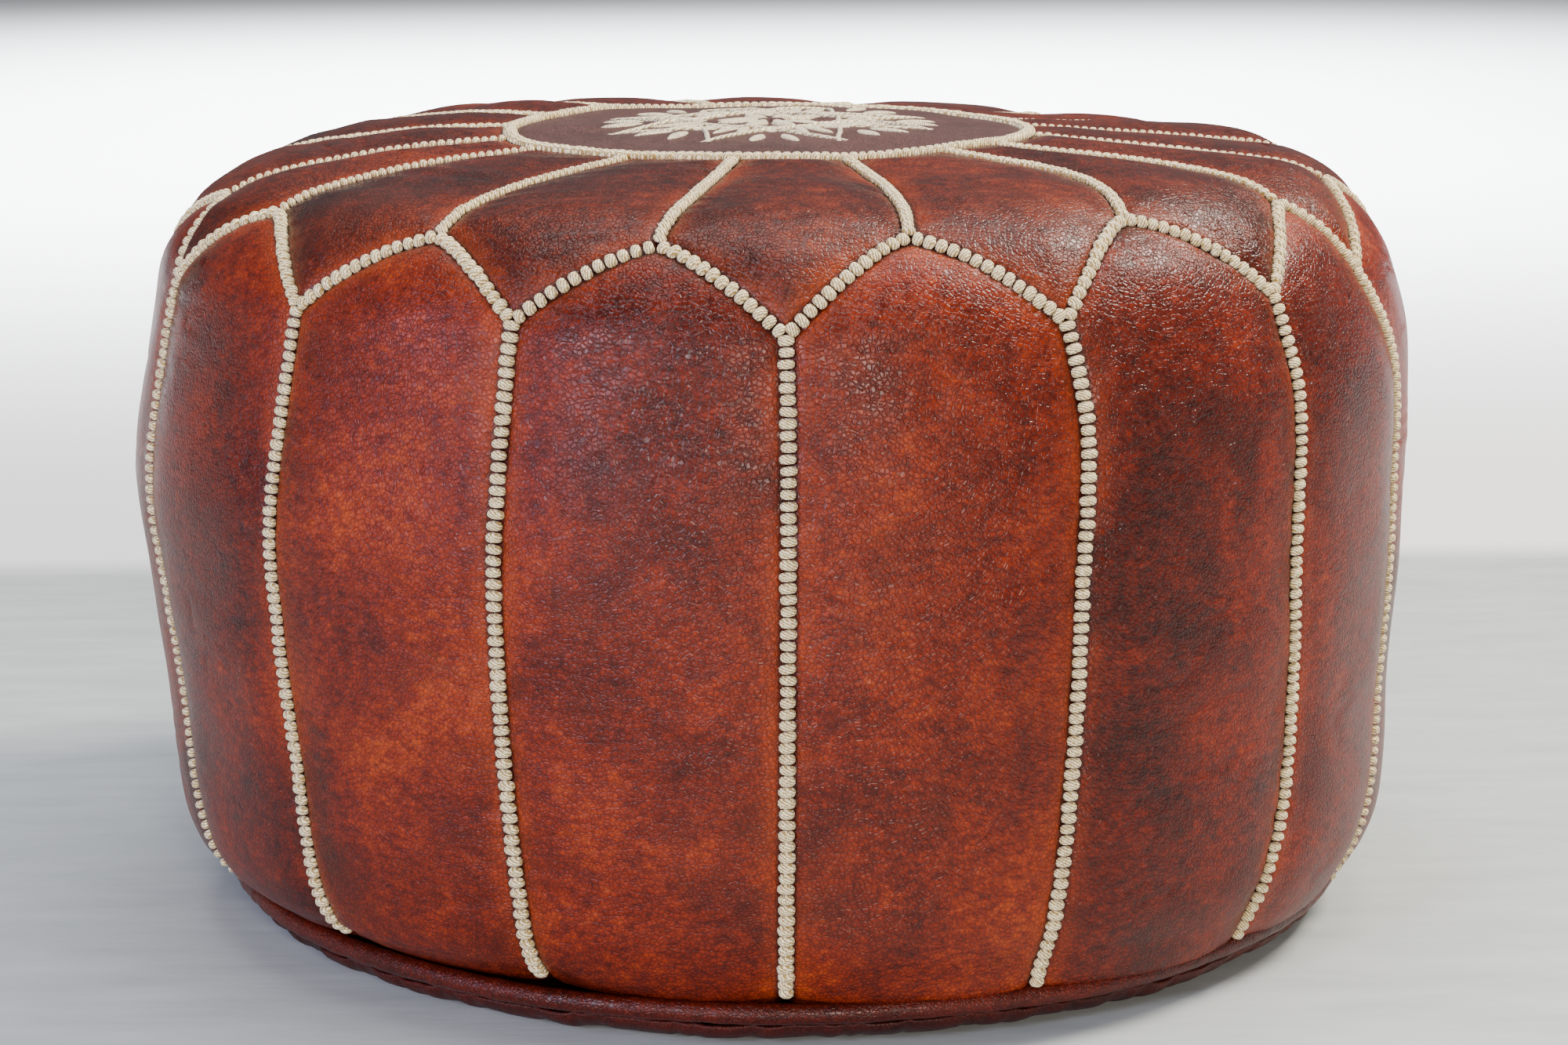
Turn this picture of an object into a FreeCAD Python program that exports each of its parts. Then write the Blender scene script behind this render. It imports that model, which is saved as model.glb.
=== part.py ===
"""Moroccan leather pouf: a stuffed drum sewn from sixteen side panels and sixteen petals
round an embroidered medallion, closed underneath by two base panels and a zip.

Frame: millimetres, +Z up, origin on the floor under the middle of the base.
The front seam faces -Y and the zip runs along X. A piece of the cover is drawn facing +X
and then turned to its place.
"""
import FreeCAD, Part
import math
import os
import re
from types import SimpleNamespace

import Sketcher
from FreeCAD import Placement, Rotation, Vector

SIZES = {
    # The cover from the side: corner, side, shoulder and dome arcs, each tangent to the next
    "panel_count": 16,
    "belly_radius": 267.8,
    "belly_height": 170,
    "side_radius": 700,
    "crown_height": 334,
    "dome_radius": 1650,
    "shoulder_radius": 55,
    "corner_radius": 60,
    "corner_height": 62,
    "hem_height": 22,
    "leather": 2,
    "seam_gap": 0.4,
    "seam_angle": 0.1,
    # The pointed arch where a side panel meets the petals: its feet, its peak and its two arcs
    "junction_radius": 259,
    "junction_height": 281,
    "peak_radius": 236,
    "peak_height": 310.5,
    "arch_radius": 155,
    "arch_tilt": 37,
    "arch_margin": 62,
    "medallion_radius": 110.5,
    # Stitch braids lie on the seams
    "stitch_lift": 0.2,
    "stitch_rise": 2.2,
    "braid_width": 5,
    "braid_overrun": 1,
    "scallop_width": 6,
    "scallop_angle": 1.2,
    "ring_width": 6,
    "ring_rise": 2.8,
    # Embroidered leaves on the medallion
    "leaf_count": 8,
    "thread_rise": 1,
    "bud_radius": 4.5,
    "short_leaf_start": 6,
    "short_leaf_end": 24,
    "short_leaf_width": 9,
    "fat_leaf_start": 26,
    "fat_leaf_end": 50,
    "fat_leaf_width": 10,
    "long_leaf_start": 30,
    "long_leaf_end": 72,
    "long_leaf_width": 6,
    # Base: a raised middle for the zip, a flat ring that stands on the floor, a curled edge
    "recess_rise": 12,
    "recess_radius": 160,
    "foot_inner": 182,
    "foot_outer": 208,
    "curl_radius": 59,
    "base_edge": 10.6,
    # Piping between the base and the side panels
    "piping_radius": 243,
    "piping_height": 17,
    "piping_size": 4.5,
    "piping_cord": 2.5,
    "cord_gap": 0.2,
    # Lining bag and filling
    "lining_inset": 3.2,
    "lining_room": 7.5,
    "lining_foot": 184,
    "filling_inset": 4.4,
    "filling_room": 8.7,
    "bag_gap": 0.2,
    # Zip: tapes, moulded teeth on a bead, stops
    "tape_half": 150,
    "tape_inner": 4.4,
    "tape_width": 13,
    "tape_height": 14.5,
    "tape_thickness": 0.6,
    "slot_half": 141,
    "slot_width": 18,
    "teeth_half": 135,
    "teeth_count": 68,
    "tooth_pitch": 4,
    "tooth_length": 2.2,
    "tooth_inner": 0.8,
    "tooth_outer": 4.2,
    "tooth_height": 2.8,
    "bead_inner": 2.4,
    "bead_height": 1.6,
    "stop_length": 3,
    "stop_gap": 0.6,
    # Slider: two plates joined by a thin web, with a bridge under the outer plate
    "slider_place": 125,
    "slider_length": 16,
    "slider_width": 13,
    "slider_plate": 1.2,
    "slider_throat": 3.8,
    "slider_web": 0.8,
    "web_start": 2,
    "web_length": 5,
    "flange": 1.2,
    "flange_bite": 0.1,
    "bridge_length": 10,
    "bridge_leg": 1.4,
    "bridge_width": 2.4,
    "bridge_hole": 2.2,
    "bridge_bar": 1.2,
    # Pull: a bar through the bridge, two arms and a tab, tip resting just above the floor
    "pull_bar": 1.4,
    "pull_gap": 3.2,
    "pull_width": 7,
    "pull_arms": 6,
    "pull_length": 26,
    "pull_droop": 20.5,
    "pull_eye": 1.6,
}
S = SimpleNamespace(**SIZES)
PITCH = 360 / S.panel_count
FRONT = -90

document = FreeCAD.newDocument("Pouf")
sheet = document.addObject("Spreadsheet::Sheet", "Sizes")
for row, (word, value) in enumerate(SIZES.items(), start=1):
    sheet.set(f"A{row}", word)
    sheet.set(f"B{row}", str(value))
    sheet.setAlias(f"B{row}", word)
document.recompute()

subparts = []


# ---- sketch and feature helpers -------------------------------------------------------------

def cells(expression):
    """The expression with each size's name turned into a reference to its cell."""
    return re.sub(r"[a-z_]+", lambda word: "Sizes." + word[0] if word[0] in SIZES else word[0],
                  expression)


def worked_out(expression):
    """The number that an expression gives now."""
    return float(sheet.evalExpression(cells(expression)))


def new_body(label, turn=0):
    """A body for one sub-part, turned about the pouf's axis by some degrees."""
    body = document.addObject("PartDesign::Body", label)
    body.Label = label
    body.Placement = Placement(Vector(), Rotation(Vector(0, 0, 1), turn))
    return body


def new_sketch(body, name, role, offset=Placement()):
    """A sketch on one of the body's own origin planes."""
    sketch = body.newObject("Sketcher::SketchObject", name)
    plane = next(item for item in body.Origin.OriginFeatures if item.Role == role)
    sketch.AttachmentSupport = [(plane, "")]
    sketch.MapMode = "FlatFace"
    sketch.AttachmentOffset = offset
    return sketch


def relate(sketch, kind, *where):
    """Add one geometric constraint."""
    sketch.addConstraint(Sketcher.Constraint(kind, *where))


def dimension(sketch, name, expression, kind, *where):
    """Add one dimension and bind it to the sheet."""
    value = worked_out(expression)
    index = sketch.addConstraint(Sketcher.Constraint(kind, *where, value))
    sketch.renameConstraint(index, name)
    sketch.setExpression("Constraints." + name, cells(expression))


def line(sketch, start, end):
    """Add a line between two (x, y) points and return its number."""
    return sketch.addGeometry(Part.LineSegment(Vector(*start, 0), Vector(*end, 0)), False)


def arc(sketch, centre, radius, start, end):
    """Add an anticlockwise arc between two angles in radians and return its number."""
    circle = Part.Circle(Vector(*centre, 0), Vector(0, 0, 1), radius)
    return sketch.addGeometry(Part.ArcOfCircle(circle, start, end), False)


def rectangle(sketch, left, right, low, high):
    """A rectangle between four coordinates, all given as expressions."""
    x0, x1, y0, y1 = (worked_out(edge) for edge in (left, right, low, high))
    corners = [(x0, y0), (x1, y0), (x1, y1), (x0, y1)]
    sides = [line(sketch, corners[i], corners[(i + 1) % 4]) for i in range(4)]
    for first, second in zip(sides, sides[1:] + sides[:1]):
        relate(sketch, "Coincident", first, 2, second, 1)
    for side, kind in zip(sides, ("Horizontal", "Vertical", "Horizontal", "Vertical")):
        relate(sketch, kind, side)
    dimension(sketch, "left", left, "DistanceX", -1, 1, sides[0], 1)
    dimension(sketch, "right", right, "DistanceX", -1, 1, sides[1], 1)
    dimension(sketch, "low", low, "DistanceY", -1, 1, sides[0], 1)
    dimension(sketch, "high", high, "DistanceY", -1, 1, sides[2], 1)


def revolve(body, sketch, angle="360", kind="Revolution"):
    """Turn a side view about the pouf's axis, the same amount either way."""
    turned = body.newObject("PartDesign::" + kind, kind.lower() + "_of_" + sketch.Name)
    turned.Profile = (sketch, [""])
    turned.ReferenceAxis = (sketch, ["V_Axis"])
    turned.Midplane = True
    turned.setExpression("Angle", cells(angle))
    document.recompute()
    return turned


def pad(body, sketch, length, symmetric=False):
    """Thicken a sketch along its normal."""
    thick = body.newObject("PartDesign::Pad", "pad_of_" + sketch.Name)
    thick.Profile = (sketch, [""])
    thick.SideType = "Symmetric" if symmetric else "One side"
    thick.setExpression("Length", cells(length))
    document.recompute()
    return thick


def pocket(body, sketch):
    """Cut a sketch right through the body, both ways."""
    cut = body.newObject("PartDesign::Pocket", "pocket_of_" + sketch.Name)
    cut.Profile = (sketch, [""])
    cut.Type = "ThroughAll"
    cut.SideType = "Symmetric"
    document.recompute()
    return cut


def repeat_round(body, count):
    """Copy the whole body so far evenly round the pouf's axis."""
    pattern = body.newObject("PartDesign::PolarPattern", "pattern_of_" + body.Name)
    axis = next(item for item in body.Origin.OriginFeatures if item.Role == "Z_Axis")
    pattern.TransformMode = "Whole shape"
    pattern.Axis = (axis, [""])
    pattern.Angle = 360
    pattern.setExpression("Occurrences", cells(count))
    body.Tip = pattern
    document.recompute()


# ---- outlines of the cover ------------------------------------------------------------------

def cover_centres():
    """Centres of the corner, side, shoulder and dome arcs of the leather's outside."""
    side = Vector(S.belly_radius - S.side_radius, S.belly_height)
    dome = Vector(0, S.crown_height - S.dome_radius)
    to_side = S.side_radius - S.shoulder_radius
    to_dome = S.dome_radius - S.shoulder_radius
    between = dome - side
    along = (to_side**2 - to_dome**2 + between.Length**2) / (2 * between.Length)
    across = math.sqrt(to_side**2 - along**2)
    unit = between.normalize()
    shoulder = side + unit * along + Vector(-unit.y, unit.x) * across
    reach = S.side_radius - S.corner_radius
    rise = S.corner_height - S.belly_height
    corner = Vector(side.x + math.sqrt(reach**2 - rise**2), S.corner_height)
    return corner, side, shoulder, dome


def heading(start, end):
    """Angle in radians of the line from one point to another."""
    return math.atan2(end.y - start.y, end.x - start.x)


def cover_chain(sketch, name, offset, low, rim):
    """One copy of the cover's side view, offset outwards, from the angle low to a rim radius.

    Four arcs run up from the hem: corner, side, shoulder, dome. The neighbours are tangent,
    the side's widest point and the dome's highest are given, and so are the four radii.
    """
    corner, side, shoulder, dome = cover_centres()
    out = worked_out(offset)
    reach = worked_out(rim)
    joints = (low, heading(side, corner), heading(side, shoulder), heading(dome, shoulder),
              math.acos(reach / (S.dome_radius + out)))
    kinds = ("corner", "side", "shoulder", "dome")
    arcs = []
    for i, (kind, centre) in enumerate(zip(kinds, (corner, side, shoulder, dome))):
        radius = worked_out(kind + "_radius") + out
        arcs.append(arc(sketch, (centre.x, centre.y), radius, joints[i], joints[i + 1]))
        dimension(sketch, f"{name}_{kind}", f"{kind}_radius + {offset}", "Radius", arcs[i])
    for first, second in zip(arcs, arcs[1:]):
        relate(sketch, "Tangent", first, 2, second, 1)
    return arcs


def place_chain(sketch, arcs):
    """Fix the centres that the tangent joints leave free."""
    dimension(sketch, "side_x", "side_radius - belly_radius", "DistanceX", arcs[1], 3, -1, 1)
    dimension(sketch, "side_z", "belly_height", "DistanceY", -1, 1, arcs[1], 3)
    dimension(sketch, "dome_z", "dome_radius - crown_height", "DistanceY", arcs[3], 3, -1, 1)
    dimension(sketch, "corner_z", "corner_height", "DistanceY", -1, 1, arcs[0], 3)
    relate(sketch, "PointOnObject", arcs[3], 3, -2)


def cover_profile(body, inner, outer, rim):
    """Closed side view of a strip of cover from the hem to a rim radius on the dome."""
    sketch = new_sketch(body, "side_view_of_" + body.Name, "XZ_Plane")
    low = math.asin((S.hem_height - S.corner_height) / S.corner_radius)
    outside = cover_chain(sketch, "outside", outer, low, rim)
    inside = cover_chain(sketch, "inside", inner, low, rim)
    place_chain(sketch, outside)
    for i, kind in ((1, "Coincident"), (3, "Coincident"), (0, "Horizontal")):
        relate(sketch, kind, outside[i], 3, inside[i], 3)
    for i, end in ((0, 1), (3, 2)):
        start = sketch.getPoint(outside[i], end)
        finish = sketch.getPoint(inside[i], end)
        edge = line(sketch, (start.x, start.y), (finish.x, finish.y))
        relate(sketch, "Coincident", edge, 1, outside[i], end)
        relate(sketch, "Coincident", edge, 2, inside[i], end)
        relate(sketch, "PointOnObject", outside[i], 3, edge)
    dimension(sketch, "hem",
              f"hem_height - ({outer}) * (corner_height - hem_height) / corner_radius",
              "DistanceY", -1, 1, outside[0], 1)
    dimension(sketch, "rim", rim, "DistanceX", -1, 1, outside[3], 2)
    return sketch


def dome_profile(body, name, inner, outer, start, finish):
    """Closed side view of a strip over the dome between two radii from the axis."""
    sketch = new_sketch(body, name, "XZ_Plane")
    centre = (0, S.crown_height - S.dome_radius)
    near = worked_out(start)
    far = worked_out(finish)
    arcs = []
    for word, offset in (("inside", inner), ("outside", outer)):
        radius = S.dome_radius + worked_out(offset)
        arcs.append(arc(sketch, centre, radius, math.acos(far / radius), math.acos(near / radius)))
        dimension(sketch, word, f"dome_radius + {offset}", "Radius", arcs[-1])
    relate(sketch, "PointOnObject", arcs[0], 3, -2)
    relate(sketch, "Coincident", arcs[0], 3, arcs[1], 3)
    dimension(sketch, "centre", "dome_radius - crown_height", "DistanceY", arcs[0], 3, -1, 1)
    for word, end, reach, radius in (("far", 1, finish, far), ("near", 2, start, near)):
        ends = [sketch.getPoint(index, end) for index in arcs]
        edge = line(sketch, (radius, ends[0].y), (radius, ends[1].y))
        relate(sketch, "Coincident", edge, 1, arcs[0], end)
        relate(sketch, "Coincident", edge, 2, arcs[1], end)
        relate(sketch, "Vertical", edge)
        if radius > 0:
            dimension(sketch, word, reach, "DistanceX", -1, 1, edge, 1)
        else:
            relate(sketch, "PointOnObject", edge, 1, -2)
    return sketch


def arch_cut(body, name, keep, shift, turn=0):
    """Cut the body along a pointed arch and keep what is below it or above it.

    The arch is two equal arcs from the feet, at the seams, up to the peak in the panel's
    middle. It is drawn square to the shoulder, on a plane tipped back by arch_tilt, and moved
    up that plane by shift. The panel's middle is turn degrees from the body's own.
    """
    tilt = Rotation(Vector(0, 1, 0), turn) * Rotation(Vector(1, 0, 0), -S.arch_tilt)
    sketch = new_sketch(body, name, "YZ_Plane", Placement(Vector(), tilt))
    foot_u = "junction_radius * sin(180 / panel_count)"
    foot_v = ("junction_height * cos(arch_tilt)"
              f" - junction_radius * cos(180 / panel_count) * sin(arch_tilt) + {shift}")
    peak_v = f"peak_height * cos(arch_tilt) - peak_radius * sin(arch_tilt) + {shift}"
    u, v, top = worked_out(foot_u), worked_out(foot_v), worked_out(peak_v)
    wide = S.arch_margin
    beyond = v - S.crown_height if keep == "above" else v + S.crown_height
    chord = Vector(u, v - top)
    half_angle = math.asin(chord.Length / 2 / S.arch_radius)
    middle = math.atan2(u, top - v)
    right = arc(sketch, (0, 0), S.arch_radius, middle - half_angle, middle + half_angle)
    left = arc(sketch, (0, 0), S.arch_radius, math.pi - middle - half_angle,
               math.pi - middle + half_angle)
    corners = [(u, v), (wide, v), (wide, beyond), (-wide, beyond), (-wide, v), (-u, v)]
    sides = [line(sketch, *pair) for pair in zip(corners, corners[1:])]
    relate(sketch, "Coincident", right, 2, left, 1)
    relate(sketch, "PointOnObject", right, 2, -2)
    relate(sketch, "Coincident", right, 1, sides[0], 1)
    relate(sketch, "Coincident", left, 2, sides[-1], 2)
    for first, second in zip(sides, sides[1:]):
        relate(sketch, "Coincident", first, 2, second, 1)
    for side, kind in zip(sides, ("Horizontal", "Vertical") * 2 + ("Horizontal",)):
        relate(sketch, kind, side)
    dimension(sketch, "right_arc", "arch_radius", "Radius", right)
    dimension(sketch, "left_arc", "arch_radius", "Radius", left)
    dimension(sketch, "right_foot", foot_u, "DistanceX", -1, 1, right, 1)
    dimension(sketch, "left_foot", foot_u, "DistanceX", left, 2, -1, 1)
    dimension(sketch, "right_rise", foot_v, "DistanceY", -1, 1, right, 1)
    dimension(sketch, "left_rise", foot_v, "DistanceY", -1, 1, left, 2)
    dimension(sketch, "peak", peak_v, "DistanceY", -1, 1, right, 2)
    dimension(sketch, "right_side", "arch_margin", "DistanceX", -1, 1, sides[1], 1)
    dimension(sketch, "left_side", "arch_margin", "DistanceX", sides[3], 1, -1, 1)
    dimension(sketch, "beyond", "crown_height", "DistanceY",
              *((sides[1], 2, sides[1], 1) if keep == "above" else (sides[1], 1, sides[1], 2)))
    pocket(body, sketch)


# ---- leather cover --------------------------------------------------------------------------

def side_panel(number):
    """One upright panel of the drum, from the hem to its pointed arch."""
    body = new_body(f"side_panel_{number + 1:02d}", FRONT + (number + 0.5) * PITCH)
    strip = cover_profile(body, "-leather", "0", "medallion_radius + seam_gap")
    revolve(body, strip, "360 / panel_count - seam_angle")
    arch_cut(body, "arch", "below", "-seam_gap / 2")
    return body


def top_petal(number):
    """One petal of the top, from its point between two arches to the medallion."""
    body = new_body(f"top_petal_{number + 1:02d}", FRONT + number * PITCH)
    strip = cover_profile(body, "-leather", "0", "medallion_radius + seam_gap")
    revolve(body, strip, "360 / panel_count - seam_angle")
    arch_cut(body, "right_arch", "above", "seam_gap / 2", PITCH / 2)
    arch_cut(body, "left_arch", "above", "seam_gap / 2", -PITCH / 2)
    return body


def medallion():
    """The round leather piece in the middle of the top."""
    body = new_body("medallion")
    cap = dome_profile(body, "cap", "-leather", "0", "0", "medallion_radius")
    revolve(body, cap)
    return body


# ---- stitching ------------------------------------------------------------------------------

def side_seam_braids():
    """Rows of knots down the sixteen upright seams, as plain strips."""
    body = new_body("side_seam_braids", FRONT)
    strip = cover_profile(body, "stitch_lift", "stitch_rise", "medallion_radius")
    pad(body, strip, "braid_width", symmetric=True)
    above = new_sketch(body, "above_the_junction", "XZ_Plane")
    rectangle(above, "0", "2 * belly_radius", "junction_height + braid_overrun", "2 * crown_height")
    pocket(body, above)
    below = new_sketch(body, "below_the_hem", "XZ_Plane")
    rectangle(below, "0", "2 * belly_radius", "0", "hem_height + seam_gap")
    pocket(body, below)
    repeat_round(body, "panel_count")
    return body


def scallop_braids():
    """Rows of knots along the sixteen arches, as plain chevrons."""
    body = new_body("scallop_braids", FRONT + PITCH / 2)
    strip = cover_profile(body, "stitch_lift", "stitch_rise", "medallion_radius + seam_gap")
    revolve(body, strip, "360 / panel_count - scallop_angle")
    arch_cut(body, "upper_edge", "below", "scallop_width / 2")
    arch_cut(body, "lower_edge", "above", "-scallop_width / 2")
    repeat_round(body, "panel_count")
    return body


def petal_braids():
    """Rows of knots between the sixteen petals, as plain strips."""
    body = new_body("petal_braids", FRONT + PITCH / 2)
    strip = cover_profile(body, "stitch_lift", "stitch_rise",
                          "medallion_radius + ring_width / 2 + seam_gap")
    pad(body, strip, "braid_width", symmetric=True)
    outside = new_sketch(body, "outside_the_peak", "XZ_Plane")
    rectangle(outside, "peak_radius - scallop_width", "2 * belly_radius", "0", "2 * crown_height")
    pocket(body, outside)
    repeat_round(body, "panel_count")
    return body


def medallion_braid_ring():
    """The thicker ring of stitches round the medallion."""
    body = new_body("medallion_braid_ring")
    strip = dome_profile(body, "ring", "stitch_lift", "ring_rise",
                         "medallion_radius - ring_width / 2", "medallion_radius + ring_width / 2")
    revolve(body, strip)
    return body


def leaf(body, word, turn=0):
    """A lens of two equal arcs pointing out from the centre, turned by some degrees."""
    start, end, width = word + "_start", word + "_end", word + "_width"
    turned = Placement(Vector(), Rotation(Vector(0, 0, 1), turn))
    sketch = new_sketch(body, word, "XY_Plane", turned)
    near, far, half = SIZES[start], SIZES[end], SIZES[width] / 2
    radius = (((far - near) / 2) ** 2 + half**2) / (2 * half)
    drop = radius - half
    spread = math.asin((far - near) / 2 / radius)
    middle = (near + far) / 2
    upper = arc(sketch, (middle, -drop), radius, math.pi / 2 - spread, math.pi / 2 + spread)
    lower = arc(sketch, (middle, drop), radius, -math.pi / 2 - spread, -math.pi / 2 + spread)
    relate(sketch, "Coincident", upper, 1, lower, 2)
    relate(sketch, "Coincident", upper, 2, lower, 1)
    relate(sketch, "PointOnObject", upper, 1, -1)
    relate(sketch, "PointOnObject", upper, 2, -1)
    size = f"((({end} - {start}) / 2) ^ 2 + ({width} / 2) ^ 2) / {width}"
    dimension(sketch, "upper_arc", size, "Radius", upper)
    dimension(sketch, "lower_arc", size, "Radius", lower)
    dimension(sketch, "near", start, "DistanceX", -1, 1, upper, 2)
    dimension(sketch, "far", end, "DistanceX", -1, 1, upper, 1)
    pad(body, sketch, "crown_height + 2 * thread_rise")


def medallion_embroidery():
    """A rosette of satin-stitched leaves round a bud, raised on the medallion."""
    body = new_body("medallion_embroidery", FRONT)
    bud = new_sketch(body, "bud", "XY_Plane")
    circle = bud.addGeometry(Part.Circle(Vector(), Vector(0, 0, 1), S.bud_radius), False)
    relate(bud, "Coincident", circle, 3, -1, 1)
    dimension(bud, "size", "bud_radius", "Radius", circle)
    pad(body, bud, "crown_height + 2 * thread_rise")
    leaf(body, "short_leaf")
    leaf(body, "long_leaf")
    leaf(body, "fat_leaf", 180 / S.leaf_count)
    repeat_round(body, "leaf_count")
    above = dome_profile(body, "air", "thread_rise", "2 * crown_height", "0", "2 * long_leaf_end")
    revolve(body, above, kind="Groove")
    below = dome_profile(body, "inside", "-2 * crown_height", "stitch_lift", "0",
                         "2 * long_leaf_end")
    revolve(body, below, kind="Groove")
    return body


# ---- base, piping, lining and filling -------------------------------------------------------

def base_profile(body):
    """Side view of the base leather: raised middle, ramp, standing ring and curled edge."""
    sketch = new_sketch(body, "side_view_of_" + body.Name, "XZ_Plane")
    slope = math.atan2(S.recess_rise, S.foot_inner - S.recess_radius)
    lean = S.leather * math.tan(slope / 2)
    under = [(0, S.recess_rise), (S.recess_radius, S.recess_rise), (S.foot_inner, 0),
             (S.foot_outer, 0)]
    over = [(S.foot_outer, S.leather), (S.foot_inner + lean, S.leather),
            (S.recess_radius + lean, S.recess_rise + S.leather), (0, S.recess_rise + S.leather)]
    lower = [line(sketch, *pair) for pair in zip(under, under[1:])]
    upper = [line(sketch, *pair) for pair in zip(over, over[1:])]
    axis = line(sketch, over[-1], under[0])
    centre = (S.foot_outer, S.curl_radius)
    end = math.asin((S.base_edge - S.curl_radius) / S.curl_radius)
    curls = []
    for word, offset in (("outside", 0), ("inside", -S.leather)):
        curls.append(arc(sketch, centre, S.curl_radius + offset, -math.pi / 2, end))
        less = " - leather" if offset else ""
        dimension(sketch, word, "curl_radius" + less, "Radius", curls[-1])
    tips = [sketch.getPoint(index, 2) for index in curls]
    edge = line(sketch, (tips[0].x, tips[0].y), (tips[1].x, tips[1].y))
    for first, second in zip(lower, lower[1:] + [curls[0]]):
        relate(sketch, "Coincident", first, 2, second, 1)
    for first, second in zip(upper, upper[1:] + [axis]):
        relate(sketch, "Coincident", first, 2, second, 1)
    relate(sketch, "Coincident", axis, 2, lower[0], 1)
    relate(sketch, "Coincident", curls[1], 1, upper[0], 1)
    relate(sketch, "Coincident", curls[0], 3, curls[1], 3)
    relate(sketch, "Coincident", edge, 1, curls[0], 2)
    relate(sketch, "Coincident", edge, 2, curls[1], 2)
    relate(sketch, "PointOnObject", curls[0], 3, edge)
    relate(sketch, "PointOnObject", axis, 1, -2)
    relate(sketch, "PointOnObject", axis, 2, -2)
    for flat in (lower[0], lower[2], upper[0], upper[2]):
        relate(sketch, "Horizontal", flat)
    relate(sketch, "Parallel", lower[1], upper[1])
    relate(sketch, "PointOnObject", lower[2], 1, -1)
    relate(sketch, "Vertical", curls[0], 1, curls[0], 3)
    relate(sketch, "Vertical", curls[1], 1, curls[0], 3)
    dimension(sketch, "rise", "recess_rise", "DistanceY", -1, 1, lower[0], 2)
    dimension(sketch, "recess", "recess_radius", "DistanceX", -1, 1, lower[0], 2)
    dimension(sketch, "inner", "foot_inner", "DistanceX", -1, 1, lower[1], 2)
    dimension(sketch, "outer", "foot_outer", "DistanceX", -1, 1, lower[2], 2)
    dimension(sketch, "top", "recess_rise + leather", "DistanceY", -1, 1, upper[2], 1)
    dimension(sketch, "ramp", "leather", "Distance", upper[1], 2, lower[1])
    dimension(sketch, "lip", "base_edge", "DistanceY", -1, 1, curls[0], 2)
    return sketch


def base_panel(label, turn):
    """Half of the base leather, with half of the slot for the zip."""
    body = new_body(label, turn)
    revolve(body, base_profile(body))
    other = new_sketch(body, "other_half", "XY_Plane")
    rectangle(other, "-2 * belly_radius", "2 * belly_radius", "-seam_gap / 2", "2 * belly_radius")
    pocket(body, other)
    slot = new_sketch(body, "zip_slot", "XY_Plane")
    rectangle(slot, "-slot_half", "slot_half", "-slot_width / 2", "slot_width / 2")
    pocket(body, slot)
    return body


def ring_of_circles(label, *radii):
    """A ring on the piping's line, solid for one radius and a tube for two."""
    body = new_body(label)
    sketch = new_sketch(body, "section_of_" + label, "XZ_Plane")
    for number, size in enumerate(radii):
        centre = Vector(S.piping_radius, S.piping_height)
        circle = sketch.addGeometry(Part.Circle(centre, Vector(0, 0, 1), worked_out(size)), False)
        dimension(sketch, f"size_{number}", size, "Radius", circle)
        dimension(sketch, f"reach_{number}", "piping_radius", "DistanceX", -1, 1, circle, 3)
        dimension(sketch, f"height_{number}", "piping_height", "DistanceY", -1, 1, circle, 3)
    revolve(body, sketch)
    return body


def bag_profile(body, name, inset, room):
    """Side view of a bag inside the cover, raised in the middle to clear the zip."""
    sketch = new_sketch(body, name, "XZ_Plane")
    arcs = cover_chain(sketch, "bag", "-" + inset, -math.pi / 2, "0")
    place_chain(sketch, arcs)
    corner = sketch.getPoint(arcs[0], 1)
    middle = S.recess_rise + worked_out(room)
    path = [(0, middle), (S.recess_radius - S.leather, middle), (S.lining_foot, corner.y),
            (corner.x, corner.y)]
    sides = [line(sketch, *pair) for pair in zip(path, path[1:])]
    top = sketch.getPoint(arcs[3], 2)
    axis = line(sketch, (0, top.y), path[0])
    relate(sketch, "Coincident", arcs[3], 2, axis, 1)
    relate(sketch, "Coincident", axis, 2, sides[0], 1)
    relate(sketch, "Coincident", sides[0], 2, sides[1], 1)
    relate(sketch, "Coincident", sides[1], 2, sides[2], 1)
    relate(sketch, "Tangent", sides[2], 2, arcs[0], 1)
    relate(sketch, "Horizontal", sides[0])
    relate(sketch, "Horizontal", sides[2])
    relate(sketch, "Vertical", axis)
    relate(sketch, "PointOnObject", axis, 1, -2)
    dimension(sketch, "middle", "recess_rise + " + room, "DistanceY", -1, 1, sides[0], 2)
    dimension(sketch, "recess", "recess_radius - leather", "DistanceX", -1, 1, sides[0], 2)
    dimension(sketch, "foot", "lining_foot", "DistanceX", -1, 1, sides[1], 2)
    return sketch


def inner_lining():
    """The cotton bag that holds the filling."""
    body = new_body("inner_lining")
    revolve(body, bag_profile(body, "outside", "lining_inset", "lining_room"))
    hollow = bag_profile(body, "hollow", "(filling_inset - bag_gap)", "(filling_room - bag_gap)")
    revolve(body, hollow, kind="Groove")
    return body


def filling():
    """The packed stuffing, as one solid."""
    body = new_body("filling")
    revolve(body, bag_profile(body, "heap", "filling_inset", "filling_room"))
    return body


# ---- zip ------------------------------------------------------------------------------------

def block(name, low, size):
    """A box from its lowest corner and its size, each three expressions."""
    box = document.addObject("Part::Box", name)
    for axis, value in zip("xyz", low):
        box.setExpression("Placement.Base." + axis, cells(value))
    for side, value in zip(("Length", "Width", "Height"), size):
        box.setExpression(side, cells(value))
    return box


def join(label, pieces):
    """Several overlapping solids made one."""
    whole = document.addObject("Part::MultiFuse", label)
    whole.Label = label
    whole.Shapes = pieces
    document.recompute()
    return whole


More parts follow.
